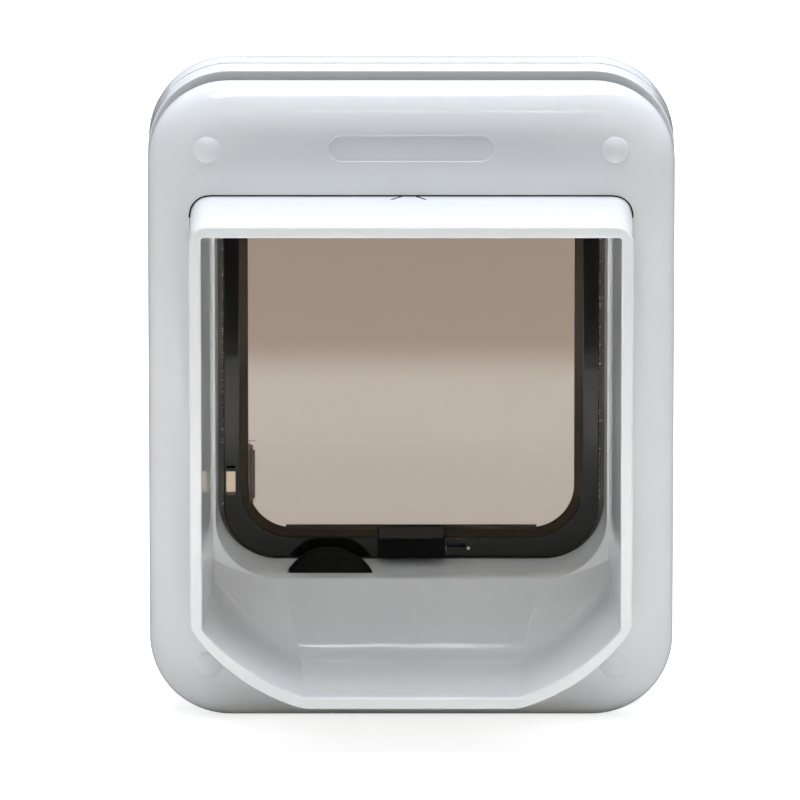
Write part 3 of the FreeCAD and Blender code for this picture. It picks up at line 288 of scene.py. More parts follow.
rim = tunnel_ring(HOOD_FRONT, 0)
outside = []
for part in range(7):
    turn = math.radians(15 * part)
    outside.append(tunnel_ring(HOOD_FRONT + 1.2 * (1 - math.sin(turn)), -1.2 * (1 - math.cos(turn))))
lip = []
for part in range(5):
    turn = math.radians(22.5 * part)
    ring = across[0] + (rim - across[0]) * (0.9 / 5.2) * (1 - math.sin(turn))
    lip.append(ring + np.array((0, 0.9 * (1 - math.cos(turn)), 0)))


def add_ring(shell, points):
    return [shell.verts.new(Vector(point) * MM) for point in points]


def band(shell, one, two):
    """Quads between two rings with as many points each."""
    for k in range(len(one)):
        n = (k + 1) % len(one)
        shell.faces.new((one[k], one[n], two[n], two[k]))


def tube(shell, rings, closed=False):
    """Bands along a row of rings, which gives back the first and last of them."""
    made = [add_ring(shell, ring) for ring in rings]
    for one, two in zip(made, made[1:] + made[:1] if closed else made[1:]):
        band(shell, one, two)
    return made[0], made[-1]


def moulding(name, shell, crease=32):
    """Closes a shell's seams, turns its faces outwards and makes it a piece."""
    bmesh.ops.remove_doubles(shell, verts=shell.verts, dist=2e-6)
    bmesh.ops.dissolve_degenerate(shell, dist=1e-7, edges=shell.edges)
    bmesh.ops.recalc_face_normals(shell, faces=shell.faces)
    for face in shell.faces:
        face.smooth = True
    for edge in shell.edges:
        edge.smooth = edge.calc_face_angle(0) < math.radians(crease)
    mesh = bpy.data.meshes.new(name)
    shell.to_mesh(mesh)
    shell.free()
    piece = bpy.data.objects.new(name, mesh)
    scene.collection.objects.link(piece)
    weighted = piece.modifiers.new("even_shading", "WEIGHTED_NORMAL")
    weighted.keep_sharp = True
    return piece


shell = bmesh.new()
outer = list(reversed(outside)) + [tunnel_ring(y, 0) for y in (-40, FRAME_FRONT, DOOR_FACE, 15.3)]
outer += [tunnel_ring(15.3, 4), tunnel_ring(HOLDER_FACE, 4)]
inner = list(reversed(across[1:])) + list(reversed(lip))
tube(shell, outer + inner, True)
hood = moulding("hood_and_tunnel", shell)


def gloss_plastic(name, colour, roughness=0.1, mottle=0.02, grain=0.02, wave=0.05):
    """Moulded plastic: a faint cloudiness, a fine orange peel, slow waves, uneven polish."""
    material, nodes, links, out = new_material(name)
    skin = nodes.new("ShaderNodeBsdfPrincipled")
    place = nodes.new("ShaderNodeTexCoord")
    cloud = nodes.new("ShaderNodeTexNoise")
    cloud.inputs["Scale"].default_value = 26
    cloud.inputs["Detail"].default_value = 3
    tone = nodes.new("ShaderNodeMix")
    tone.data_type = "RGBA"
    tone.inputs["A"].default_value = (*(c * (1 - mottle) for c in colour), 1)
    tone.inputs["B"].default_value = (*(min(c * (1 + mottle), 1) for c in colour), 1)
    polish = nodes.new("ShaderNodeMapRange")
    polish.inputs["To Min"].default_value = roughness * 0.8
    polish.inputs["To Max"].default_value = roughness * 1.2
    peel = nodes.new("ShaderNodeTexNoise")
    peel.inputs["Scale"].default_value = 420
    peel.inputs["Detail"].default_value = 2
    swell = nodes.new("ShaderNodeTexNoise")
    swell.inputs["Scale"].default_value = 90
    swell.inputs["Detail"].default_value = 1
    bump = nodes.new("ShaderNodeBump")
    bump.inputs["Strength"].default_value = grain
    bump.inputs["Distance"].default_value = 0.0004
    waves = nodes.new("ShaderNodeBump")
    waves.inputs["Strength"].default_value = wave
    waves.inputs["Distance"].default_value = 0.002
    for texture in (cloud, peel, swell):
        links.new(place.outputs["Object"], texture.inputs["Vector"])
    links.new(swell.outputs["Fac"], waves.inputs["Height"])
    links.new(waves.outputs["Normal"], bump.inputs["Normal"])
    links.new(cloud.outputs["Fac"], tone.inputs["Factor"])
    links.new(tone.outputs["Result"], skin.inputs["Base Color"])
    links.new(cloud.outputs["Fac"], polish.inputs["Value"])
    links.new(polish.outputs["Result"], skin.inputs["Roughness"])
    links.new(peel.outputs["Fac"], bump.inputs["Height"])
    links.new(bump.outputs["Normal"], skin.inputs["Normal"])
    skin.inputs["IOR"].default_value = 1.5
    links.new(skin.outputs["BSDF"], out.inputs["Surface"])
    return material


white_gloss = gloss_plastic("white_gloss", (0.83, 0.835, 0.84))


def settle(piece, material, body, slot, *nodes):
    """Gives a piece its material and body, and lets it stand for its CAD nodes; its slot is not used."""
    piece.data.materials.clear()
    piece.data.materials.append(material)
    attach(piece, body)
    if nodes:
        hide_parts(*nodes)


def carve(piece, *tools, way="DIFFERENCE"):
    """Cuts closed shapes out of a piece, or keeps what lies in them, and drops them."""
    for tool in tools:
        cutter = piece.modifiers.new("carve", "BOOLEAN")
        cutter.object = tool
        cutter.operation = way
        cutter.solver = "EXACT"
        piece.modifiers.move(len(piece.modifiers) - 1, 0)
    weighted = piece.modifiers["even_shading"]
    weighted.show_viewport = False
    bpy.context.view_layer.update()
    graph = bpy.context.evaluated_depsgraph_get()
    carved = bpy.data.meshes.new_from_object(piece.evaluated_get(graph))
    for tool in tools:
        bpy.data.objects.remove(tool)
    for modifier in list(piece.modifiers):
        if modifier.type == "BOOLEAN":
            piece.modifiers.remove(modifier)
    weighted.show_viewport = True
    shell = bmesh.new()
    shell.from_mesh(carved)
    bmesh.ops.remove_doubles(shell, verts=shell.verts, dist=1e-6)
    for edge in shell.edges:
        edge.smooth = edge.calc_face_angle(0) < math.radians(32)
    shell.to_mesh(piece.data)
    shell.free()


def bar(name, x, z, radius, start, end, sides=64):
    """A plain round bar through the depth."""
    shell = bmesh.new()
    turns = [math.radians(360 * k / sides) for k in range(sides)]
    rings = [[(x + radius * math.cos(t), y, z + radius * math.sin(t)) for t in turns]
             for y in (start, end)]
    one, two = tube(shell, rings)
    shell.faces.new(one)
    shell.faces.new(two)
    return moulding(name, shell)


LOCK_X, LOCK_Z = -34.95, 51
carve(hood, bar("cam_slot", LOCK_X, LOCK_Z, 20.9, 6.8, 12.8, 96))
settle(hood, white_gloss, "casing", "white", "tunnel_hood")
# Hood mark: two thin dark strokes on top of the hood, and a dark strip of painted shade in the gap.
shell = bmesh.new()
for end in (-8.3, 6.1):
    corners = [(-1.4, -9), (-0.4, -9), (end + 0.45, -18.8), (end - 0.45, -18.8)]
    one, two = tube(shell, [[(x, y, z) for x, y in corners] for z in (232.6, 233.12)])
    shell.faces.new(one)
    shell.faces.new(two)
# A dark strip of painted shade that fills the gap between hood and frame round the hood's upper corners.
corners = [tunnel_ring(y, grow) for grow, y in
           ((0.02, -13.36), (0.6, -13.36), (0.6, -13.22), (0.38, -13.1), (0.38, -11.8), (0.02, -11.8))]
line = [k for k in range(len(corners[0])) if corners[0][k][2] > 221]
first = next(k for k in line if k - 1 not in line and (k or len(corners[0]) - 1 not in line))
line = [(first + k) % len(corners[0]) for k in range(len(line))]
one, two = tube(shell, [[corner[k] for corner in corners] for k in line])
shell.faces.new(one)
shell.faces.new(two)
mark_and_painted_gap_shade = gloss_plastic("mark_and_painted_gap_shade", (0.006, 0.006, 0.008), 0.6, 0.2)
mark_and_painted_gap_shade.node_tree.nodes["Principled BSDF"].inputs["Specular IOR Level"].default_value = 0.1
settle(moulding("hood_mark_and_painted_gap_shade", shell), mark_and_painted_gap_shade, "casing", "dark")

# Outdoor frame
# A white soft-edged cover, hollow behind, that slides over the tunnel and is screwed to the
# housing through four seats. A long shallow recess lies above the hood.
TURNS = 20


def cover_ring(inset, y, height=280, steps=12):
    """The rounded outline of the frame or housing, moved inwards by inset."""
    half, radius = 112.5 - inset, 35 - inset
    line = stretch((0, inset), (half - radius, inset), 0, steps)
    line += quarter(half - radius, inset + radius, radius, -90, TURNS)
    line += stretch((half, inset + radius), (half, height - inset - radius), 0, 2 * steps)
    line += quarter(half - radius, height - inset - radius, radius, 0, TURNS)
    line += stretch((half - radius, height - inset), (0, height - inset), 0, steps)
    return whole_ring(line + [(0, height - inset)], y)


def pillow_rings(inset, depth, bulge, edge, seat, toward, height=280, steps=12):
    """Rings from the rim of a soft-edged cover to its crest."""
    rings = [cover_ring(inset, seat, height)]
    for step in range(steps + 1):
        turn = math.pi / 2 * step / steps
        rings.append(cover_ring(inset + (bulge - inset) * (1 - math.cos(turn)),
                                seat + toward * (edge + (depth - inset - edge) * math.sin(turn)),
                                height))
    return rings


def flat_between(shell, *rings):
    """Fills the flat space between rings that lie in one plane."""
    edges = []
    for ring in rings:
        for k in range(len(ring)):
            pair = (ring[k - 1], ring[k])
            edges.append(shell.edges.get(pair) or shell.edges.new(pair))
    bmesh.ops.triangle_fill(shell, use_beauty=True, use_dissolve=False, edges=edges)


def circle(x, z, radius, y, sides=40):
    turns = [math.radians(360 * k / sides) for k in range(sides)]
    return [(x + radius * math.cos(t), y, z + radius * math.sin(t)) for t in turns]


def stadium(grow, y):
    """The outline of the long recess, moved outwards by grow."""
    half, radius, steps = 29.55, 5.7 + grow, 16
    points = []
    for side in (1, -1):
        for step in range(steps + 1):
            turn = math.radians(-90 + 180 * step / steps)
            points.append((side * (half + radius * math.cos(turn)), y,
                           254 + side * radius * math.sin(turn)))
    return points


FIXINGS = [(side * 87, high) for side in (-1, 1) for high in (253.4, 25.4)]
shell = bmesh.new()
rim, crest = tube(shell, pillow_rings(0, 16, 20, 2, DOOR_FACE, -1))
under, hollow = tube(shell, pillow_rings(2.5, 16, 20, 2, DOOR_FACE, -1))
band(shell, rim, under)
flat_between(shell, crest)
flat_between(shell, hollow)
outdoor_frame = moulding("outdoor_frame", shell)
shell = bmesh.new()
one, two = tube(shell, [tunnel_ring(y, 0.4) for y in (-30, 10)])
shell.faces.new(one)
shell.faces.new(two)
opening = moulding("opening", shell)
shell = bmesh.new()
one, two = tube(shell, [stadium(grow, FRAME_FRONT + depth) for grow, depth in
                        ((0.4, -5), (0.4, -0.02), (0.22, 0.06), (0.06, 0.2), (0, 0.4), (-0.05, 0.6),
                         (-0.15, 0.73), (-0.35, 0.8))])
shell.faces.new(one)
shell.faces.new(two)
carve(outdoor_frame, opening, moulding("recess", shell),
      *(bar("seat", x, z, 4.7, -20, -7.2) for x, z in FIXINGS),
      *(bar("shank_hole", x, z, 2.6, -9, -2) for x, z in FIXINGS))
shell = bmesh.new()
shell.from_mesh(outdoor_frame.data)
tube(shell, [tunnel_ring(y, grow) for grow, y in
             ((0.4, -11.4), (0.4, DOOR_FACE), (2.6, DOOR_FACE), (2.6, -11.4))], True)
for x, z in FIXINGS:
    tube(shell, [circle(x, z, radius, y) for radius, y in
                 ((6.9, -10.5), (6.9, DOOR_FACE), (2.6, DOOR_FACE), (2.6, -10.5))], True)
shell.to_mesh(outdoor_frame.data)
shell.free()
settle(outdoor_frame, white_gloss, "casing", "white", "exterior_frame")

# Screw caps
# Four domed white caps that snap into the seats and hide the long screws. They are one
# pattern, set at the four fixings.
shell = bmesh.new()
profile = [(0.01, 1.8), (1.2, 1.75), (2.4, 1.6), (3.5, 1.32), (4.5, 0.93), (5.2, 0.55), (5.6, 0.24),
           (5.8, 0.05), (5.8, 0), (4.4, 0), (4.4, -2.4)]
cap_rings = [circle(0, 0, radius, -high, 48) for radius, high in profile]
crown, plug = tube(shell, cap_rings)
shell.faces.new(crown)
shell.faces.new(plug)
caps = moulding("screw_caps", shell)


def new_tree(name, inputs):
    """A geometry tree with named number inputs, its entry and its exit."""
    tree = bpy.data.node_groups.new(name, "GeometryNodeTree")
    tree.interface.new_socket("Geometry", in_out="INPUT", socket_type="NodeSocketGeometry")
    for label, kind in inputs:
        tree.interface.new_socket(label, in_out="INPUT", socket_type=kind)
    tree.interface.new_socket("Geometry", in_out="OUTPUT", socket_type="NodeSocketGeometry")
    return tree, tree.nodes.new("NodeGroupInput"), tree.nodes.new("NodeGroupOutput")


def grown(piece, tree, values):
    """Runs a geometry tree on a piece and keeps the result as its plain mesh."""
    modifier = piece.modifiers.new("pattern", "NODES")
    modifier.node_group = tree
    for item in tree.interface.items_tree:
        if item.in_out == "INPUT" and item.name in values:
            modifier[item.identifier] = values[item.name]
    bpy.context.view_layer.update()
    graph = bpy.context.evaluated_depsgraph_get()
    mesh = bpy.data.meshes.new_from_object(piece.evaluated_get(graph))
    for used in list(piece.modifiers):
        if used.name == "pattern":
            piece.modifiers.remove(used)
    piece.data = mesh


def maths(tree, operation, one, two):
    """A sum on two sockets or numbers in a geometry tree."""
    node = tree.nodes.new("ShaderNodeMath")
    node.operation = operation
    for socket, value in zip(node.inputs, (one, two)):
        if isinstance(value, (int, float)):
            socket.default_value = value
        else:
            tree.links.new(value, socket)
    return node.outputs[0]


tree, entry, leave = new_tree("caps_at_fixings", [
    ("Reach", "NodeSocketFloat"), ("Low", "NodeSocketFloat"), ("High", "NodeSocketFloat"),
    ("Face", "NodeSocketFloat"), ("Plastic", "NodeSocketMaterial")])
index = tree.nodes.new("GeometryNodeInputIndex").outputs[0]
odd = maths(tree, "MODULO", index, 2)
upper = maths(tree, "GREATER_THAN", index, 1.5)
spot = tree.nodes.new("ShaderNodeCombineXYZ")
tree.links.new(maths(tree, "MULTIPLY", maths(tree, "SUBTRACT", maths(tree, "MULTIPLY", odd, 2), 1),
                     entry.outputs["Reach"]), spot.inputs["X"])
tree.links.new(entry.outputs["Face"], spot.inputs["Y"])
rise = maths(tree, "SUBTRACT", entry.outputs["High"], entry.outputs["Low"])
tree.links.new(maths(tree, "ADD", entry.outputs["Low"], maths(tree, "MULTIPLY", upper, rise)),
               spot.inputs["Z"])
points = tree.nodes.new("GeometryNodePoints")
points.inputs["Count"].default_value = 4
tree.links.new(spot.outputs[0], points.inputs["Position"])
put = tree.nodes.new("GeometryNodeInstanceOnPoints")
real = tree.nodes.new("GeometryNodeRealizeInstances")
skin = tree.nodes.new("GeometryNodeSetMaterial")
tree.links.new(points.outputs[0], put.inputs["Points"])
tree.links.new(entry.outputs["Geometry"], put.inputs["Instance"])
tree.links.new(put.outputs[0], real.inputs[0])
tree.links.new(real.outputs[0], skin.inputs["Geometry"])
tree.links.new(entry.outputs["Plastic"], skin.inputs["Material"])
tree.links.new(skin.outputs[0], leave.inputs[0])
grown(caps, tree, {"Reach": 87 * MM, "Low": 25.4 * MM, "High": 253.4 * MM,
                   "Face": FRAME_FRONT * MM, "Plastic": white_gloss})
settle(caps, white_gloss, "casing", "white", "screw_cap_upper_left", "screw_cap_upper_right",
       "screw_cap_lower_left", "screw_cap_lower_right")

# Housing, front half
# A shallow white tray that clamps the door from indoors. A fine groove runs round it where
# the rear half closes on it.
HOUSING_FACE, SEAM, HOUSING_BACK, HOUSING_TALL = 12.8, 25.8, 56.8, 282
shell = bmesh.new()
rings = [cover_ring(inset, y, HOUSING_TALL) for inset, y in
         ((1, HOUSING_FACE), (0.4, HOUSING_FACE + 0.2), (0.1, HOUSING_FACE + 0.6),
          (0, HOUSING_FACE + 1.1), (0, SEAM - 0.8), (1.4, SEAM - 0.75), (1.4, SEAM - 0.05),
          (2.5, SEAM - 0.05),
          (2.5, HOUSING_FACE + 2.5))]
face, floor_edge = tube(shell, rings)
shell.faces.new(face)
shell.faces.new(floor_edge)
housing_tray = moulding("housing_tray", shell)
shell = bmesh.new()
one, two = tube(shell, [tunnel_ring(y, 0.2) for y in (HOUSING_FACE - 1, HOUSING_FACE + 3.5)])
shell.faces.new(one)
shell.faces.new(two)
carve(housing_tray, moulding("tray_opening", shell))
settle(housing_tray, white_gloss, "casing", "white", "housing_front")

# Housing, rear half
# A deep white cover with soft edges and a rounded passage for the animal. Its wall turns in
# as a sleeve that meets the flap holder.
PASSAGE = dict(half=84, low=62, top=226, low_turn=27, top_turn=3)


def passage_ring(y, grow):
    return throat_ring(y, PASSAGE["half"] + grow, PASSAGE["low"] - grow, PASSAGE["top"] + grow,
                       PASSAGE["low_turn"] + grow, PASSAGE["top_turn"] + grow)


def rear_shell():
    """The rear half as a closed shell, before the battery cover is parted from it."""
    shell = bmesh.new()
    outer = pillow_rings(0, 31, 14, 9, SEAM, 1, HOUSING_TALL)
    outer[:1] = [cover_ring(inset, SEAM + gap, HOUSING_TALL)
                 for inset, gap in ((1.4, 0.05), (1.4, 0.75), (0, 0.8))]
    inner = pillow_rings(2.5, 31, 14, 9, SEAM, 1, HOUSING_TALL)
    inner[0] = cover_ring(2.5, SEAM + 0.05, HOUSING_TALL)
    rim, crest = tube(shell, outer)
    under, hollow = tube(shell, inner)
    band(shell, rim, under)
    sleeve = []
    for part in range(6):
        turn = math.radians(18 * part)
        sleeve.append(passage_ring(HOUSING_BACK - 1.5 * (1 - math.cos(turn)),
                                   1.5 * (1 - math.sin(turn))))
    sleeve += [passage_ring(26.5, 0), passage_ring(26.5, 2), passage_ring(54.3, 2)]
    edge, root = tube(shell, sleeve)
    fronts, backs = [crest, edge], [hollow, root]
    for x, z, radius in ((LOCK_X, LOCK_Z, 3.05), (76, 31, 4.3), (60, 31, 2.5)):
        front, back = tube(shell, [circle(x, z, radius, HOUSING_BACK),
                                   circle(x, z, radius, 54.3)])
        fronts.append(front)
        backs.append(back)
    flat_between(shell, *fronts)
    flat_between(shell, *backs)
    return shell


def block(name, low, high):
    """A plain block between two corners."""
    shell = bmesh.new()
    bmesh.ops.create_cube(shell, size=1)
    low, high = Vector(low) * MM, Vector(high) * MM
    size = Matrix.Diagonal((*(high - low), 1))
    bmesh.ops.transform(shell, matrix=Matrix.Translation((low + high) / 2) @ size,
                        verts=shell.verts)
    return moulding(name, shell)


housing_rear = moulding("housing_rear_cover", rear_shell())
shell = bmesh.new()
one, two = tube(shell, [[(19.4 + 2.8 * math.cos(t), 30.5 + 2.8 * math.sin(t), z)
                         for t in np.arange(0, 2 * math.pi, math.pi / 20)] for z in (57, 65)])
shell.faces.new(one)
shell.faces.new(two)
carve(housing_rear, moulding("bolt_hole", shell), block("cover_space", (-72, 35.8, 238), (72, 70, 300)),
      bar("rear_cam_slot", LOCK_X, LOCK_Z, 20.9, 29.8, 34.8, 96))
settle(housing_rear, white_gloss, "casing", "white", "housing_rear")

# Battery cover
# A white lid over the cells, at the top of the rear half, with three finger ridges. It is
# parted from the rear half by a fine gap.
battery_cover = moulding("battery_lid", rear_shell())
carve(battery_cover, block("lid_space", (-71.65, 36.15, 238.35), (71.65, 70, 300)),
      way="INTERSECT")


def eased_block(name, low, high, radius, steps=3):
    """A block whose edges are rounded off."""
    piece = block(name, low, high)
    round_off = piece.modifiers.new("eased_edges", "BEVEL")
    round_off.width = radius * MM
    round_off.segments = steps
    piece.modifiers.move(1, 0)
    return piece


def joined(piece, *others):
    """Takes the finished meshes of other pieces into one and drops those."""
    graph = bpy.context.evaluated_depsgraph_get()
    shell = bmesh.new()
    shell.from_mesh(piece.data)
    for other in others:
        mesh = bpy.data.meshes.new_from_object(other.evaluated_get(graph))
        shell.from_mesh(mesh)
        bpy.data.objects.remove(other)
    shell.to_mesh(piece.data)
    shell.free()
    return piece


ridges = [eased_block("ridge", (-16, 56.2, high), (16, 57.5, high + 1.6), 0.6)
          for high in (243, 247, 251)]
bpy.context.view_layer.update()
joined(battery_cover, *ridges)
settle(battery_cover, white_gloss, "cover", "white", "battery_cover")

# Flap surround
# The glossy black ring that carries the pane, with a smoked bevel towards it, a slot at its
# left and a crown that turns on the hinge pins.
FLAP_FACE, FLAP_BACK = 19.8, 25.8


def ring_edge(y, inset):
    return throat_ring(y, 80.8 - inset, 64.2 + inset, 222, 23.8 - inset, 1)


def pane_edge(y, grow):
    return throat_ring(y, 70.1 + grow, 77.2 - grow, 215.2 + grow, 19 + grow, 4.75 + grow)


shell = bmesh.new()
rings = [ring_edge(FLAP_BACK, 0.4), ring_edge(FLAP_BACK - 0.4, 0)]
for part in range(5):
    turn = math.radians(22.5 * part)
    rings.append(ring_edge(FLAP_FACE + 0.6 * (1 - math.sin(turn)), 0.6 * (1 - math.cos(turn))))
rings += [pane_edge(FLAP_FACE, 4.4), pane_edge(FLAP_FACE + 0.05, 4), pane_edge(FLAP_FACE + 0.2, 3.7),
          pane_edge(21.3, 0.3), pane_edge(21.5, 0), pane_edge(21.8, 0), pane_edge(21.8, 1.7),
          pane_edge(FLAP_BACK, 1.7)]
tube(shell, rings, True)
surround = moulding("flap_ring", shell, 50)
carve(surround, block("slot", (-79.6, 15, 92), (-75.7, 30, 102.6)),
      block("notch", (-79.6, 15, 104), (-75.7, 22, 108.6)),
      block("striker_window", (15.4, 15, 68.6), (23.4, 24.8, 70.7)),
      block("foot_notch", (15.4, 15, 63), (23.4, 22, 65.1)),
      block("striker_seat", (15.4, 24.6, 65.2), (23.4, 30, 72.6)))
shell = bmesh.new()
turns = [math.radians(11.25 * k) for k in range(32)]
knuckles = [[(x, 22.8 + radius * math.cos(t), 222 + radius * math.sin(t)) for t in turns]
            for x, radius in ((-80.8, 2.6), (-80.2, 3.2), (80.2, 3.2), (80.8, 2.6))]
one, two = tube(shell, knuckles)
shell.faces.new(one)
shell.faces.new(two)
crown = moulding("crown", shell)
ledge = eased_block("ledge", (-54, 20.4, 76.4), (54, 21.7, 78.6), 0.4)
pins = [bar("flap_pins", x, 68.4, 0.75, FLAP_FACE - 0.35, FLAP_FACE + 1, 20) for x in (14.3, 24.6)]
bpy.context.view_layer.update()
joined(surround, crown, ledge)
black_gloss = gloss_plastic("black_gloss", (0.005, 0.0046, 0.0042), 0.06, 0.2, 0.01, 0.02)
smoked_edge = gloss_plastic("smoked_edge", (0.02, 0.015, 0.009), 0.08, 0.2, 0.01, 0.02)
smoked_edge.node_tree.nodes["Principled BSDF"].inputs["IOR"].default_value = 1.3
settle(surround, black_gloss, "flap", "black", "flap_surround")
surround.data.materials.append(smoked_edge)


def bare_metal(name, colour, roughness):
    """Drawn or plated metal with a faint grain."""
    material = gloss_plastic(name, colour, roughness, 0.08, 0.03, 0.01)
    material.node_tree.nodes["Principled BSDF"].inputs["Metallic"].default_value = 1
    return material


steel = bare_metal("steel", (0.62, 0.61, 0.58), 0.28)
pins = joined(*pins)
settle(pins, steel, "flap", "steel")
for face in surround.data.polygons:
    if 19.95 < face.center.y / MM < 21.45 and face.normal.y < -0.2:
        face.material_index = 1

# Smoked pane
# A clear brown pane, held in the surround's rebate from behind, with a small bulge at its
# left edge. It keeps the shape that the solid has.
smoked, nodes, links, out = new_material("smoked_pane")
glass = nodes.new("ShaderNodeBsdfPrincipled")
glass.inputs["Base Color"].default_value = (0.48, 0.42, 0.365, 1)
glass.inputs["Transmission Weight"].default_value = 1
glass.inputs["IOR"].default_value = 1.49
place = nodes.new("ShaderNodeTexCoord")
haze = nodes.new("ShaderNodeTexNoise")
haze.inputs["Scale"].default_value = 18
rub = nodes.new("ShaderNodeMapRange")
rub.inputs["To Min"].default_value = 0.01
rub.inputs["To Max"].default_value = 0.05
links.new(place.outputs["Object"], haze.inputs["Vector"])
links.new(haze.outputs["Fac"], rub.inputs["Value"])
links.new(rub.outputs["Result"], glass.inputs["Roughness"])
links.new(glass.outputs["BSDF"], out.inputs["Surface"])


def paint(material, *nodes):
    """Gives CAD pieces that stay as they are a material."""
    for node in nodes:
        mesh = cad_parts[node].data
        mesh.materials.clear()
        mesh.materials.append(material)


paint(smoked, "flap_window")
rib_glass = gloss_plastic("rib_glass", (0.2, 0.14, 0.1), 0.08, 0.1, 0.01, 0.02)
rib_glass.node_tree.nodes["Principled BSDF"].inputs["Transmission Weight"].default_value = 0.75
ribs = [eased_block("pane_ribs", (-70, low_y, low_z), (high_x, 21.3, high_z), 0.5)
        for high_x, low_y, low_z, high_z in ((-67.2, 20.3, 90.4, 111.8), (-68, 20, 88.2, 114.2),
                                             (-69.2, 19.8, 87.6, 114.8))]
slot_pane = eased_block("slot_pane", (-80, 24, 90.5), (-75.3, 25, 104), 0.3)
bpy.context.view_layer.update()
settle(joined(*ribs), rib_glass, "flap", "smoked")
tan_glass = gloss_plastic("tan_glass", (0.62, 0.5, 0.37), 0.1, 0.05, 0.01, 0.02)
tan_glass.node_tree.nodes["Principled BSDF"].inputs["Transmission Weight"].default_value = 0.95
settle(slot_pane, tan_glass, "flap", "smoked")

# Magnet block
# A black wedge at the flap's foot that holds the magnet. Its top slopes up to the pane.
shell = bmesh.new()
side_view = [(10.8, 66.3), (19.8, 66.3), (19.8, 78.4), (10.8, 74.8)]
ends = [[(x, y, z) for y, z in side_view] for x in (-14.5, 14.5)]
one, two = tube(shell, ends)
shell.faces.new(one)
shell.faces.new(two)
wedge = moulding("magnet_wedge", shell)
round_off = wedge.modifiers.new("eased_edges", "BEVEL")
round_off.width = 0.8 * MM
round_off.segments = 4
wedge.modifiers.move(1, 0)
black_satin = gloss_plastic("black_satin", (0.0015, 0.0015, 0.0016), 0.15, 0.2, 0.03, 0.03)
black_satin.node_tree.nodes["Principled BSDF"].inputs["Specular IOR Level"].default_value = 0.08
settle(wedge, black_satin, "flap", "black", "flap_magnet_block")

# Brush seal
# A brown-grey pile in a U round the flap. The bristles stand inwards from the holder in rows,
# each a little askew.
BRUSH_ROWS = 7
line = [((83, z), (-1, 0)) for z in np.arange(205, 88, -0.42)]
line += [((57 + 26 * math.cos(t), 88 + 26 * math.sin(t)), (-math.cos(t), -math.sin(t)))
         for t in np.arange(0, -math.pi / 2, -0.42 / 26)]
line += [((x, 62), (0, 1)) for x in np.arange(57, 0, -0.42)]
line += [((-x, z), (-u, w)) for (x, z), (u, w) in reversed(line)]
roots = bpy.data.meshes.new("brush")
roots.from_pydata([Vector((x, 21, z)) * MM for (x, z), way in line], [], [])
inward = roots.attributes.new("inward", "FLOAT_VECTOR", "POINT")
for number, (spot, (u, w)) in enumerate(line):
    inward.data[number].vector = (u, 0, w)
brush = bpy.data.objects.new("brush", roots)
scene.collection.objects.link(brush)
tree, entry, leave = new_tree("bristles", [
    ("Rows", "NodeSocketInt"), ("Row gap", "NodeSocketFloat"), ("Length", "NodeSocketFloat"),
    ("Stray", "NodeSocketFloat"), ("Seed", "NodeSocketInt"), ("Pile", "NodeSocketMaterial")])
copies = tree.nodes.new("GeometryNodeDuplicateElements")
copies.domain = "POINT"
shift = tree.nodes.new("ShaderNodeCombineXYZ")
moved = tree.nodes.new("GeometryNodeSetPosition")
jitter = tree.nodes.new("FunctionNodeRandomValue")
jitter.data_type = "FLOAT"
jitter.inputs[2].default_value = -0.25 * MM
jitter.inputs[3].default_value = 0.25 * MM
way = tree.nodes.new("GeometryNodeInputNamedAttribute")
way.data_type = "FLOAT_VECTOR"
way.inputs["Name"].default_value = "inward"
stray = tree.nodes.new("FunctionNodeRandomValue")
stray.data_type = "FLOAT_VECTOR"
askew = tree.nodes.new("ShaderNodeVectorMath")
askew.operation = "MULTIPLY_ADD"
centred = tree.nodes.new("ShaderNodeVectorMath")
centred.operation = "SUBTRACT"
centred.inputs[1].default_value = (0.5, 0.5, 0.5)
aligned = tree.nodes.new("FunctionNodeAlignRotationToVector")
aligned.axis = "Z"
hair = tree.nodes.new("GeometryNodeMeshCone")
hair.inputs["Vertices"].default_value = 5
hair.inputs["Radius Top"].default_value = 0.08 * MM
hair.inputs["Radius Bottom"].default_value = 0.22 * MM
put = tree.nodes.new("GeometryNodeInstanceOnPoints")
real = tree.nodes.new("GeometryNodeRealizeInstances")
skin = tree.nodes.new("GeometryNodeSetMaterial")
tree.links.new(entry.outputs["Geometry"], copies.inputs["Geometry"])
tree.links.new(entry.outputs["Rows"], copies.inputs["Amount"])
tree.links.new(entry.outputs["Seed"], jitter.inputs["Seed"])
tree.links.new(entry.outputs["Seed"], stray.inputs["Seed"])
tree.links.new(maths(tree, "ADD", maths(tree, "MULTIPLY", copies.outputs["Duplicate Index"],
                                        entry.outputs["Row gap"]), jitter.outputs[1]), shift.inputs["Y"])
tree.links.new(copies.outputs["Geometry"], moved.inputs["Geometry"])
tree.links.new(shift.outputs[0], moved.inputs["Offset"])
tree.links.new(stray.outputs[0], centred.inputs[0])
tree.links.new(centred.outputs[0], askew.inputs[0])
tree.links.new(entry.outputs["Stray"], askew.inputs[1])
tree.links.new(way.outputs["Attribute"], askew.inputs[2])
tree.links.new(askew.outputs[0], aligned.inputs["Vector"])
tree.links.new(entry.outputs["Length"], hair.inputs["Depth"])
tree.links.new(moved.outputs[0], put.inputs["Points"])
tree.links.new(hair.outputs["Mesh"], put.inputs["Instance"])
tree.links.new(aligned.outputs[0], put.inputs["Rotation"])
tree.links.new(put.outputs[0], real.inputs[0])
tree.links.new(real.outputs[0], skin.inputs["Geometry"])
tree.links.new(entry.outputs["Pile"], skin.inputs["Material"])
tree.links.new(skin.outputs[0], leave.inputs[0])
pile = gloss_plastic("pile", (0.11, 0.095, 0.082), 0.7, 0.5, 0.05, 0.05)
grown(brush, tree, {"Rows": BRUSH_ROWS, "Row gap": 0.6 * MM, "Length": 2.17 * MM, "Stray": 0.25,
                    "Seed": 4, "Pile": pile})
settle(brush, pile, "casing", "pile", "brush_seal")

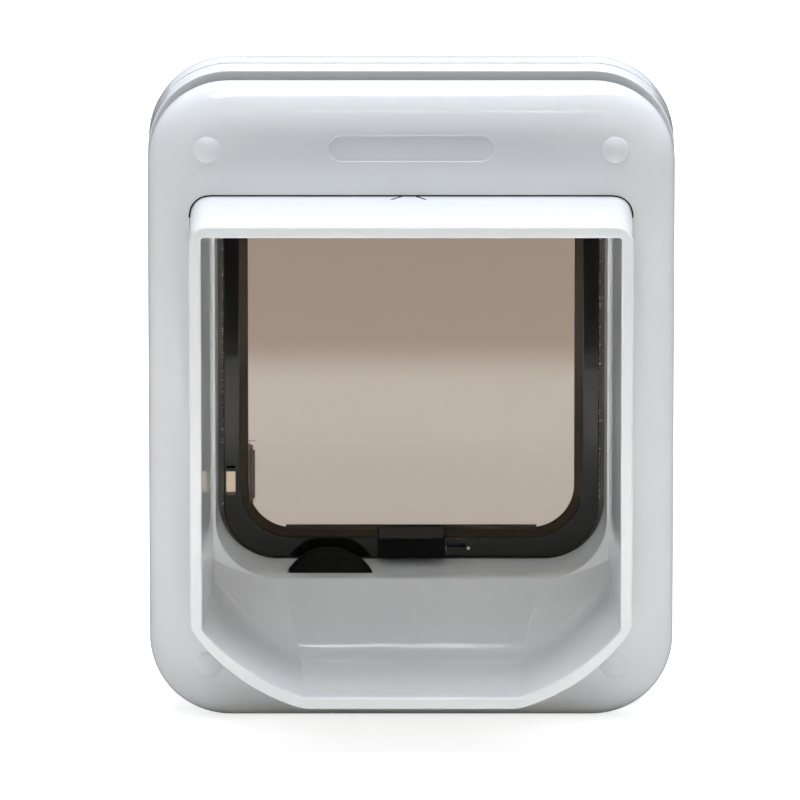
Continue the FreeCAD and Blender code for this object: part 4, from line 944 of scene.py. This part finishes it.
# Lock
# Two matte black cams on one shaft, one on each side of the flap, and indoors a knob with a
# grip and three position dots beside it.
matte_black = gloss_plastic("matte_black", (0.003, 0.003, 0.0028), 0.6, 0.2, 0.05, 0.02)
matte_black.node_tree.nodes["Principled BSDF"].inputs["Specular IOR Level"].default_value = 0.1
dark_plastic = gloss_plastic("dark_plastic", (0.055, 0.056, 0.06), 0.3, 0.1, 0.06, 0.02)


def dressed(name, node, material, body, slot, ease):
    """A copy of a CAD piece with its edges eased."""
    shell = bmesh.new()
    shell.from_mesh(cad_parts[node].data)
    bmesh.ops.remove_doubles(shell, verts=shell.verts, dist=2e-6)
    bmesh.ops.dissolve_limit(shell, angle_limit=math.radians(0.5), verts=shell.verts,
                             edges=shell.edges)
    piece = moulding(name, shell)
    round_off = piece.modifiers.new("eased_edges", "BEVEL")
    round_off.width = ease * MM
    round_off.segments = 3
    piece.modifiers.move(1, 0)
    settle(piece, material, body, slot, node)
    return piece


dressed("cam_outdoors", "front_cam", matte_black, "lock", "matte_black", 0.5)
dressed("cam_indoors", "rear_cam", matte_black, "lock", "matte_black", 0.4)


def turned(name, x, z, profile, sides=64):
    """A closed turned piece on an axis through the depth, from radius and depth pairs."""
    shell = bmesh.new()
    one, two = tube(shell, [circle(x, z, radius, y, sides) for radius, y in profile])
    shell.faces.new(one)
    shell.faces.new(two)
    return moulding(name, shell, 40)


knob = turned("knob", LOCK_X, LOCK_Z, [(10.6, 57.2), (11, 57.6), (11, 59.9), (10.8, 60.3), (10.3, 60.6),
                                       (9.4, 60.6), (9.1, 60.4), (8.8, 60.6), (0.5, 60.6)])
grip = eased_block("grip", (LOCK_X - 2.5, 59, LOCK_Z - 9.9), (LOCK_X + 2.5, 65.2, LOCK_Z + 9.9), 1.1)
pointer = eased_block("pointer", (LOCK_X - 0.5, 65, LOCK_Z + 4), (LOCK_X + 0.5, 65.3, LOCK_Z + 9), 0.1, 1)
bpy.context.view_layer.update()
joined(knob, grip, pointer)
settle(knob, dark_plastic, "lock", "dark", "lock_knob")
dots = []
for turn in (0, 120, 240):
    t = math.radians(90 - turn)
    dots.append(turned("position_dots", LOCK_X + 14 * math.cos(t), LOCK_Z + 14 * math.sin(t),
                       [(0.9, 56.7), (0.9, 56.85), (0.7, 57), (0.05, 57.05)], 24))
bpy.context.view_layer.update()
settle(joined(*dots), dark_plastic, "casing", "dark")

# Indoor controls
# A round learn button with a dished face, and a small red lens.
button = turned("button", 76, 31, [(5.4, 52.8), (5.4, 54), (4, 54.1), (4, 58.2), (3.7, 58.6), (3.2, 58.6),
                                   (2, 58.45), (0.05, 58.4)])
settle(button, dark_plastic, "button", "dark", "learn_button")
red_lens = gloss_plastic("red_lens", (0.5, 0.03, 0.02), 0.08, 0.05, 0.01, 0.01)
lens = turned("lens", 60, 31, [(2.4, 49.3), (2.4, 56.9), (2, 57.2), (1.2, 57.38), (0.05, 57.4)], 40)
settle(lens, red_lens, "casing", "lens", "status_light")

# Inner pieces
# Cells, contacts, screws, coil, latch and board keep their solids' shapes.
copper = bare_metal("copper", (0.72, 0.36, 0.2), 0.25)
nickel = bare_metal("nickel", (0.58, 0.58, 0.6), 0.2)
cell_wrap = gloss_plastic("cell_wrap", (0.035, 0.045, 0.06), 0.25, 0.1, 0.02, 0.01)
board_green = gloss_plastic("board_green", (0.015, 0.11, 0.045), 0.3, 0.3, 0.05, 0.02)
paint(copper, "antenna_coil")
paint(nickel, "frame_magnet", "flap_magnet")
paint(steel, "frame_screws", "case_screws", "contact_plates", "contact_springs", "hinge_pin_left",
      "hinge_pin_right", "detent_spring", "latch_bolt", "latch_solenoid")
# The striker's steel is tinted light blue as a painted reflection of the sky.
paint(bare_metal("steel_with_painted_sky_reflection", (0.5, 0.62, 0.76), 0.6), "latch_striker")
paint(dark_plastic, "battery_tray", "lock_shaft", "latch_bracket")
paint(cell_wrap, "battery_1", "battery_2", "battery_3", "battery_4")
paint(board_green, "circuit_board")
paint(matte_black, "control_chip", "button_switch")
paint(white_gloss, "flap_holder")
